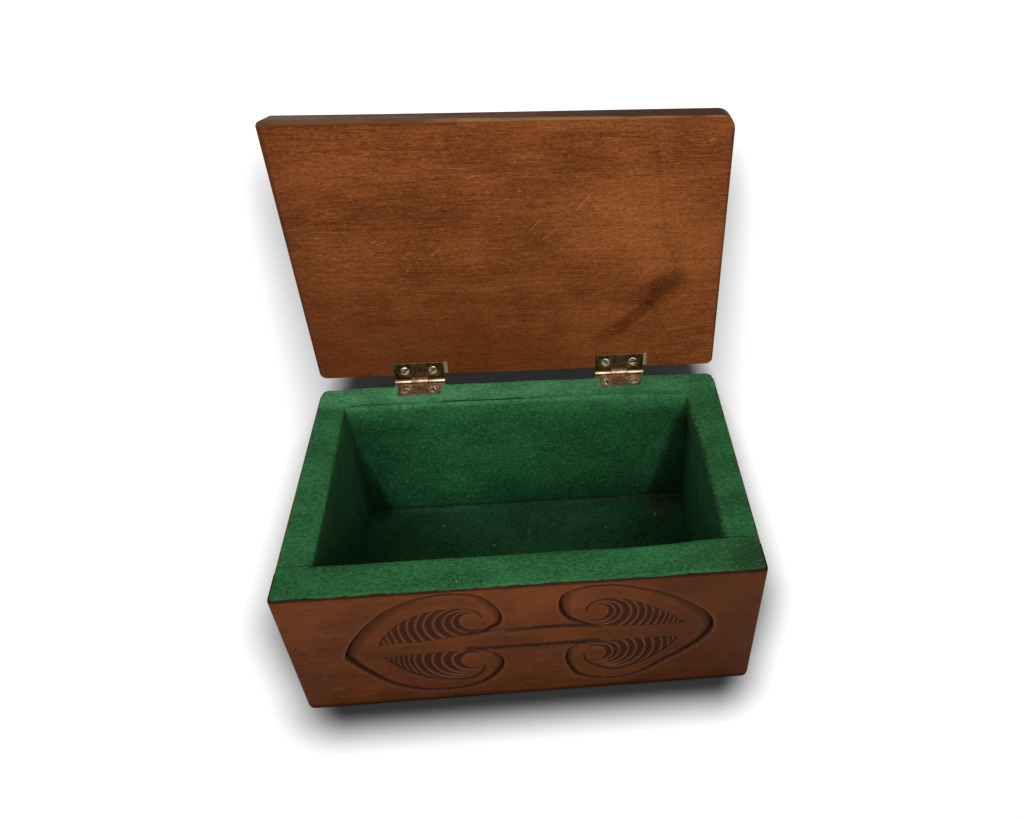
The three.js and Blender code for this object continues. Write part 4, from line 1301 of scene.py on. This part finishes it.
# Each mark's start, end, half width, softness, waver, fading along it, amount and colour: two warm
# patches, the knot with its tail, faint streaks, then dark specks, thin lines and pale scratches
marks = [
    ((60, 172), (80, 152), 3, 30, 6, 0, 0.5, warm_wood),
    ((36, 166), (50, 156), 5, 24, 5, 0, 0.4, warm_wood),
    ((64, 125), (77, 134), 3.5, 7, 6, 0, 0.4, dark_heart),
    ((69, 130.5), (76, 133.8), 2.4, 3, 3, 0, 0.55, dark_heart),
    ((66.5, 123.5), (69, 127.5), 2, 2.2, 2.5, 0, 0.6, dark_heart),
    ((65, 120.5), (50, 107.5), 2, 2, 2.5, 0.2, 0.62, dark_heart),
    ((52, 110.5), (42, 101.5), 2.2, 3.5, 3, 0.5, 0.45, dark_heart),
    ((77, 133), (96, 138), 0.6, 5, 5, 0.8, 0.3, dark_heart),
    ((78, 136), (77.5, 154), 1.2, 5, 5, 0.6, 0.28, dark_heart),
    ((64.8, 209), (70.5, 169.5), 0.2, 1.4, 2.5, 0.3, 0.2, dark_heart),
    ((70.5, 169.5), (73.1, 152), 0.2, 1.6, 2.5, 0, 0.15, dark_heart)]
marks += [(start, end, half_width, 0.5, 1.6, 0, 0.6, ink) for start, end, half_width in (
    ((-31, 212.7), (-19.5, 212.5), 0.25), ((-57, 194.1), (-56.4, 194), 0.1),
    ((-72.2, 196), (-71.8, 196), 0.05), ((-47.4, 158), (-46.6, 158), 0.15),
    ((-63.4, 199.3), (-63, 199.2), 0.05), ((-95.2, 157.6), (-94.8, 157.5), 0.15),
    ((18.8, 149), (19.6, 149.2), 0.1), ((16.3, 127), (16.9, 127), 0.1), ((77.4, 143.9), (78, 144), 0.15))]
marks += [((-98, 213.3), (-32, 213.1), 0.25, 1.3, 1.2, 0, 0.5, thin_shade)]
marks += [(start, end, 0.05, 0.9, 2.4, 0, 0.35, ink) for start, end in (
    ((15.8, 207.5), (36.7, 208.4)), ((41, 206.1), (62, 205.2)), ((20, 206), (60, 207.5)))]
marks += [(start, end, 0.06, 0.4, 1.2, 0, 0.48, bare) for start, end in (
    ((36.8, 179.6), (30.1, 171.7)), ((13.7, 167.8), (8.9, 162.5)), ((62, 206.5), (66, 209)),
    ((36, 203.4), (38.4, 203.8)), ((-15.5, 189.6), (-11.5, 189.4)), ((-61, 158), (-57, 158.8)),
    ((-34.4, 153.8), (-32.4, 154)), ((89.4, 203.2), (91.4, 203.6)), ((64, 140.6), (66, 142.4)),
    ((-9, 111.5), (-4, 111)), ((9, 111.8), (13, 111.2)), ((14.5, 158), (17.5, 160)),
    ((47, 107.5), (50, 106.6)), ((75, 139), (76.6, 140.6)), ((-63, 158.5), (-61, 159.6)),
    ((3.6, 194.5), (4.2, 196)), ((-49, 143), (-48.5, 145.2)), ((-17, 188.4), (-13, 189.8)),
    ((-37, 151.5), (-33, 154.8)))]
for *shape, amount, colour in marks:
    stain(lid, stroke(*shape), amount, colour)

# Fine pale and dark dashes along the grain, and painted shade towards the hinges
spot = axes(lid["place"])
dashes = noise(lid["place"], (300, 1500, 1500), 2.0, 0.6, shift=(4, 2, 8))
stain(lid, grade(dashes, 0.6, 0.74), 0.4, bare)
dashes = noise(lid["place"], (600, 2100, 2100), 2.0, 0.6, shift=(1, 6, 3))
patchy = noise(lid["place"], (28, 60, 60), 3.0, 0.6, shift=(8, 8, 8))
stain(lid, times(grade(dashes, 0.54, 0.68), grade(patchy, 0.38, 0.62, 0.35, 1.0)), 0.6, ink)
streaks = noise(lid["place"], (55, 1700, 1700), 2.0, 0.5, shift=(3, 7, 1))
stain(lid, times(grade(streaks, 0.56, 0.68), grade(patchy, 0.4, 0.6)), 0.45, dark_heart)
stain(lid, times(grade(streaks, 0.42, 0.3), grade(patchy, 0.6, 0.45)), 0.22, bare)
mottle = noise(lid["place"], (500, 1000, 1000), 3.0, 0.65, shift=(2, 5, 9))
lid["colour"] = blend(1.0, lid["colour"], grade(mottle, 0.35, 0.65, 0.78, 1.22, "LINEAR"), "MULTIPLY")
# Painted shade, darkest low down near the hinges and towards the left
low_down = zone(spot, ("Z", 0.165, 0.082), ("X", 0.11, -0.04, 0.15, 1.0))
stain(lid, low_down, 0.62, (0.085, 0.022, 0.005, 1))
# Painted shade along the left side of the face, and darker side edges
stain(lid, grade(spot["X"], -0.084, -0.1), 0.3, (0.07, 0.022, 0.008, 1))
stain(lid, maths("MAXIMUM", grade(spot["X"], 0.0982, 0.0995), grade(spot["X"], -0.0984, -0.1)), 0.45, ink)

# Finish worn off the edge that faces up, most of it towards the left, and off its arris
on_edge = grade(spot["Z"], 0.2128, 0.2138)
rubbed = grade(noise(lid["place"], (40, 160, 160), 4.0, 0.6), 0.2, 0.55)
leftwards = grade(spot["X"], 0.08, -0.06)
stain(lid, on_edge, 0.92, (0.05, 0.016, 0.0065, 1))
stain(lid, times(on_edge, times(rubbed, leftwards)), 0.5, (0.215, 0.115, 0.055, 1))
arris = zone(spot, ("Z", 0.213, 0.2136), ("Y", 0.0747, 0.074), ("X", -0.04, -0.015))
stain(lid, times(arris, rubbed), 0.7, (0.36, 0.17, 0.08, 1))
lid_panel.data.materials.append(wax_wood(lid, 0.01))
lid_panel.data.materials.append(raw_wood["material"])
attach(lid_panel, "lid")
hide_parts("lid_board")


# Hinge leaves. Each is stamped from brass sheet, with countersunk holes for two screws, and its
# tongues are rolled into knuckles round the pin: the rim's leaf has the middle one.
knuckle_radius = 1.5 * mm
knuckle_gap = 0.2 * mm
knuckle_turn = 278
pin_hole = 0.68 * mm
screw_pitch = 14 * mm
rim_screw_line = 7.1 * mm
lid_screw_line = 6 * mm
screw_head_radius = 2.2 * mm
half_gap = 0.375 * mm
leaf_corner = 0.8 * mm
leaf_edge_round = 0.26 * mm
sink_clearance = 0.12 * mm
sink_foot_radius = 0.9 * mm
sink_depth = 1.5 * mm
sink_middle = 0.7 * mm


def hinge_leaf(name, side, screw_line, knuckles):
    """A leaf at X zero on the shut box: the rim's where side is -1, the lid's where it is 1."""
    plate_end = pin_y - knuckle_radius - knuckle_gap
    plate_middle = pin_z + side * (half_gap + leaf_thick / 2)
    leaf = add_block(
        name, (0, (leaf_free_edge + plate_end) / 2, plate_middle),
        (2 * leaf_half, plate_end - leaf_free_edge, leaf_thick))
    choose(leaf, "EDGE", lambda e: abs(e.verts[0].co.z - e.verts[1].co.z) > 0.5 * mm
           and all(v.co.y < leaf_free_edge + 0.1 * mm for v in e.verts))
    bpy.ops.mesh.bevel(offset=leaf_corner, segments=4, affect="EDGES")
    for x in {edge for span in knuckles for edge in span if abs(edge) < leaf_half - 0.1 * mm}:
        bpy.ops.mesh.select_all(action="SELECT")
        bpy.ops.mesh.bisect(plane_co=(x, 0, 0), plane_no=(1, 0, 0))
    for x0, x1 in knuckles:
        choose(leaf, "FACE", lambda f: f.normal.y > 0.9 and x0 < f.calc_center_median().x < x1
               and abs(f.calc_center_median().y - plate_end) < 0.1 * mm)
        draw_out(
            (0, pin_y - plate_end, 0), (1, 1, (knuckle_radius - pin_hole) / leaf_thick),
            (0, 0, plate_middle))
        bpy.ops.transform.translate(
            value=(0, 0, side * ((knuckle_radius + pin_hole) / 2 - half_gap - leaf_thick / 2)))
        bpy.ops.mesh.spin(
            steps=18, angle=math.radians(side * knuckle_turn), center=(0, pin_y, pin_z), axis=(1, 0, 0))
    bpy.ops.mesh.select_all(action="SELECT")
    bpy.ops.mesh.remove_doubles(threshold=0.005 * mm)
    face_outwards()
    for x in (-screw_pitch / 2, screw_pitch / 2):
        face = pin_z + side * half_gap
        start_alone()
        bpy.ops.mesh.primitive_cone_add(
            vertices=32, radius1=screw_head_radius + sink_clearance, radius2=sink_foot_radius,
            depth=sink_depth, end_fill_type="NGON",
            location=(x, pin_y - screw_line, face + side * sink_middle),
            rotation=(0 if side > 0 else math.pi, 0, 0))
        cut_away(leaf, settle("countersink"))
    soften(leaf, leaf_edge_round, 40)
    worn = leaf.data.attributes.new("worn", "FLOAT", "FACE")
    rolled = leaf.data.attributes.new("rolled", "FLOAT", "FACE")
    for face in leaf.data.polygons:
        from_pin = math.hypot(face.center.y - pin_y, face.center.z - pin_z)
        on_knuckle = from_pin < 1.05 * knuckle_radius and face.center.y > plate_end - 0.1 * mm
        # A painted highlight on the knuckle faces that look forward and a little up, fainter on the rim's
        # leaf
        facing = Matrix.Rotation(math.radians(-open_angle if side > 0 else 0), 3, "X") @ face.normal
        lifted = math.degrees(math.atan2(facing.z, -facing.y))
        bright = ease(lifted, -5, 12) * (1 - 0.9 * ease(lifted, 26, 44)) * (1 if side > 0 else 0.4)
        rolled.data[face.index].value = float(bright if on_knuckle and abs(face.normal.x) < 0.5 else 0)
        worn.data[face.index].value = float(not on_knuckle and 0.1 < abs(face.normal.z) < 0.97)
    smooth(leaf, 30)
    return leaf


third = 2 * leaf_half / 3
middle_knuckle = ((-third / 2 + knuckle_gap / 2, third / 2 - knuckle_gap / 2),)
outer_knuckles = ((-leaf_half, -third / 2 - knuckle_gap / 2), (third / 2 + knuckle_gap / 2, leaf_half))
rim_leaf = hinge_leaf("rim_leaf", -1, rim_screw_line, middle_knuckle)
lid_leaf = hinge_leaf("lid_leaf", 1, lid_screw_line, outer_knuckles)


def metal(name, dark, light, roughness, marks):
    """Handled metal: its tone and its polish vary in small clouds. Each mark is the name of what the
    mesh carries, an amount and a colour."""
    coat = start_material(name)
    coat["colour"] = blend(grade(noise(coat["place"], 420.0, 4.0, 0.6), 0.35, 0.65), dark, light)
    for mark, amount, colour in marks:
        stain(coat, painted(coat, mark), amount, colour)
    scuffs = noise(coat["place"], (400, 3000, 3000))
    gloss = maths("MULTIPLY_ADD", scuffs, 0.3, roughness - 0.15)
    bump = add_node(
        coat["tree"], "ShaderNodeBump", {"Height": scuffs, "Distance": 0.00002, "Strength": 0.6})
    return close_material(coat, {"Metallic": 1.0, "Roughness": gloss, "Normal": bump.outputs[0]})


# The leaves are rubbed bright on their edges, and a painted highlight lies on their knuckles
rim_brass = metal("rim_brass_finish", (0.22, 0.125, 0.075, 1), (0.46, 0.31, 0.21, 1), 0.44, (
    ("worn", 0.75, (0.65, 0.48, 0.34, 1)), ("rolled", 0.9, (0.6, 0.46, 0.29, 1))))
lid_brass = metal("lid_brass_finish", (0.045, 0.028, 0.012, 1), (0.1, 0.065, 0.03, 1), 0.44, (
    ("worn", 0.75, (0.75, 0.58, 0.37, 1)), ("rolled", 0.9, (0.76, 0.62, 0.41, 1))))
for name, x in hinges:
    rim = copy_of(rim_leaf, name + "_rim_leaf", x)
    rim.data.materials.append(rim_brass)
    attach(rim, "box")
    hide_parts(name + "_hinge_rim_leaf")
    upper = copy_of(lid_leaf, name + "_lid_leaf", x)
    open_lid(upper)
    upper.data.materials.append(lid_brass)
    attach(upper, "lid")
    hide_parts(name + "_hinge_lid_leaf")
bpy.data.objects.remove(rim_leaf)
bpy.data.objects.remove(lid_leaf)


# Hinge pins. Drawn brass wire, pushed through the knuckles, with slightly rounded ends.
pin_radius = 0.6 * mm
pin_end_round = 0.25 * mm
pin_brass = metal("pin_brass_finish", (0.3, 0.22, 0.12, 1), (0.5, 0.4, 0.25, 1), 0.35, ())
for name, x in hinges:
    start_alone()
    bpy.ops.mesh.primitive_cylinder_add(
        vertices=32, radius=pin_radius, depth=2 * leaf_half, location=(x, pin_y, pin_z),
        rotation=(0, math.pi / 2, 0))
    pin = settle(name + "_pin")
    choose(pin, "EDGE", lambda e: abs(e.verts[0].co.x - e.verts[1].co.x) < 0.01 * mm)
    bpy.ops.mesh.bevel(offset=pin_end_round, segments=4, affect="EDGES")
    bpy.ops.object.mode_set(mode="OBJECT")
    smooth(pin)
    pin.data.materials.append(pin_brass)
    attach(pin, "box")
    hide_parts(name + "_hinge_pin")


# Wood screws. Small countersunk brass screws with a slot in the slightly domed head, two in each
# leaf, turned home with the slots left as they came.
screw_shank = 1.1 * mm
screw_tip = 0.4 * mm
screw_crown = 0.25 * mm
crown_rings = ((0.12 * mm, 0.86), (0.08 * mm, 0.72), (0.05 * mm, 0.5))
screw_head_drop = 1.1 * mm
slot_width = 0.7 * mm
slot_depth = 0.55 * mm
head_rim = 0.1 * mm
screw_edge_round = 0.06 * mm


def wood_screw(length):
    """A screw that points down from the origin."""
    start_alone()
    bpy.ops.mesh.primitive_cylinder_add(
        vertices=32, radius=screw_head_radius, depth=head_rim, location=(0, 0, -head_rim / 2))
    screw = settle("screw")
    choose(screw, "FACE", lambda f: f.normal.z > 0.9)
    for rise, share in crown_rings:
        draw_out((0, 0, rise), (share, share, 1))
    choose(screw, "FACE", lambda f: f.normal.z < -0.9)
    drops = (
        (screw_head_drop - head_rim, screw_shank / screw_head_radius),
        (length * 0.6 - screw_head_drop, 1),
        (length * 0.4, screw_tip / screw_shank))
    for drop, share in drops:
        draw_out((0, 0, -drop), (share, share, 1))
    bpy.ops.object.mode_set(mode="OBJECT")
    cut_away(screw, add_block(
        "slot", (0, 0, screw_crown), (slot_width, 3 * screw_head_radius, 2 * slot_depth)))
    soften(screw, screw_edge_round, 40)
    in_slot = screw.data.attributes.new("slot", "FLOAT", "FACE")
    for face in screw.data.polygons:
        sunk = abs(face.center.x) < 0.55 * slot_width and -0.7 * mm < face.center.z < screw_crown
        in_slot.data[face.index].value = float(sunk and face.center.xy.length < screw_head_radius)
    smooth(screw, 30)
    return screw


# The slots are darker, and one screw has gone green
dark_slots = (("slot", 0.95, (0.012, 0.009, 0.006, 1)),)
screw_brass = metal("screw_brass_finish", (0.25, 0.2, 0.14, 1), (0.8, 0.74, 0.63, 1), 0.3, dark_slots)
pale_screw = metal("rim_screw_finish", (0.42, 0.32, 0.24, 1), (0.88, 0.76, 0.64, 1), 0.36, dark_slots)
green_screw = metal("green_screw_finish", (0.2, 0.27, 0.19, 1), (0.55, 0.66, 0.52, 1), 0.42, dark_slots)
rim_screw = wood_screw(10 * mm)
lid_screw = wood_screw(8 * mm)

# How far each screw's slot is turned, in degrees
slots = {
    "left_rim_screw_outer": 65, "left_rim_screw_inner": 30,
    "right_rim_screw_outer": 110, "right_rim_screw_inner": 15,
    "left_lid_screw_outer": 135, "left_lid_screw_inner": 120,
    "right_lid_screw_outer": 100, "right_lid_screw_inner": 40}
for node, slot_angle in slots.items():
    on_lid = "_lid_" in node
    hinge_side = -1 if node.startswith("left") else 1
    outwards = 1 if node.endswith("outer") else -1
    x = hinge_side * (hinge_x * mm + outwards * screw_pitch / 2)
    source = lid_screw if on_lid else rim_screw
    screw = copy_of(source, node.replace("_screw", "") + "_screw")
    turn = Matrix.Rotation(math.radians(slot_angle), 4, "Z")
    if on_lid:
        turn = Matrix.Rotation(math.pi, 4, "X") @ turn
        foot = Vector((x, pin_y - lid_screw_line, lid_low))
    else:
        foot = Vector((x, pin_y - rim_screw_line, pin_z - half_gap))
    screw.data.transform(Matrix.Translation(foot) @ turn)
    if on_lid:
        open_lid(screw)
    finish = pale_screw if "_rim_" in node else screw_brass
    screw.data.materials.append(green_screw if node == "right_lid_screw_inner" else finish)
    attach(screw, "lid" if on_lid else "box")
    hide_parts(node)
bpy.data.objects.remove(rim_screw)
bpy.data.objects.remove(lid_screw)
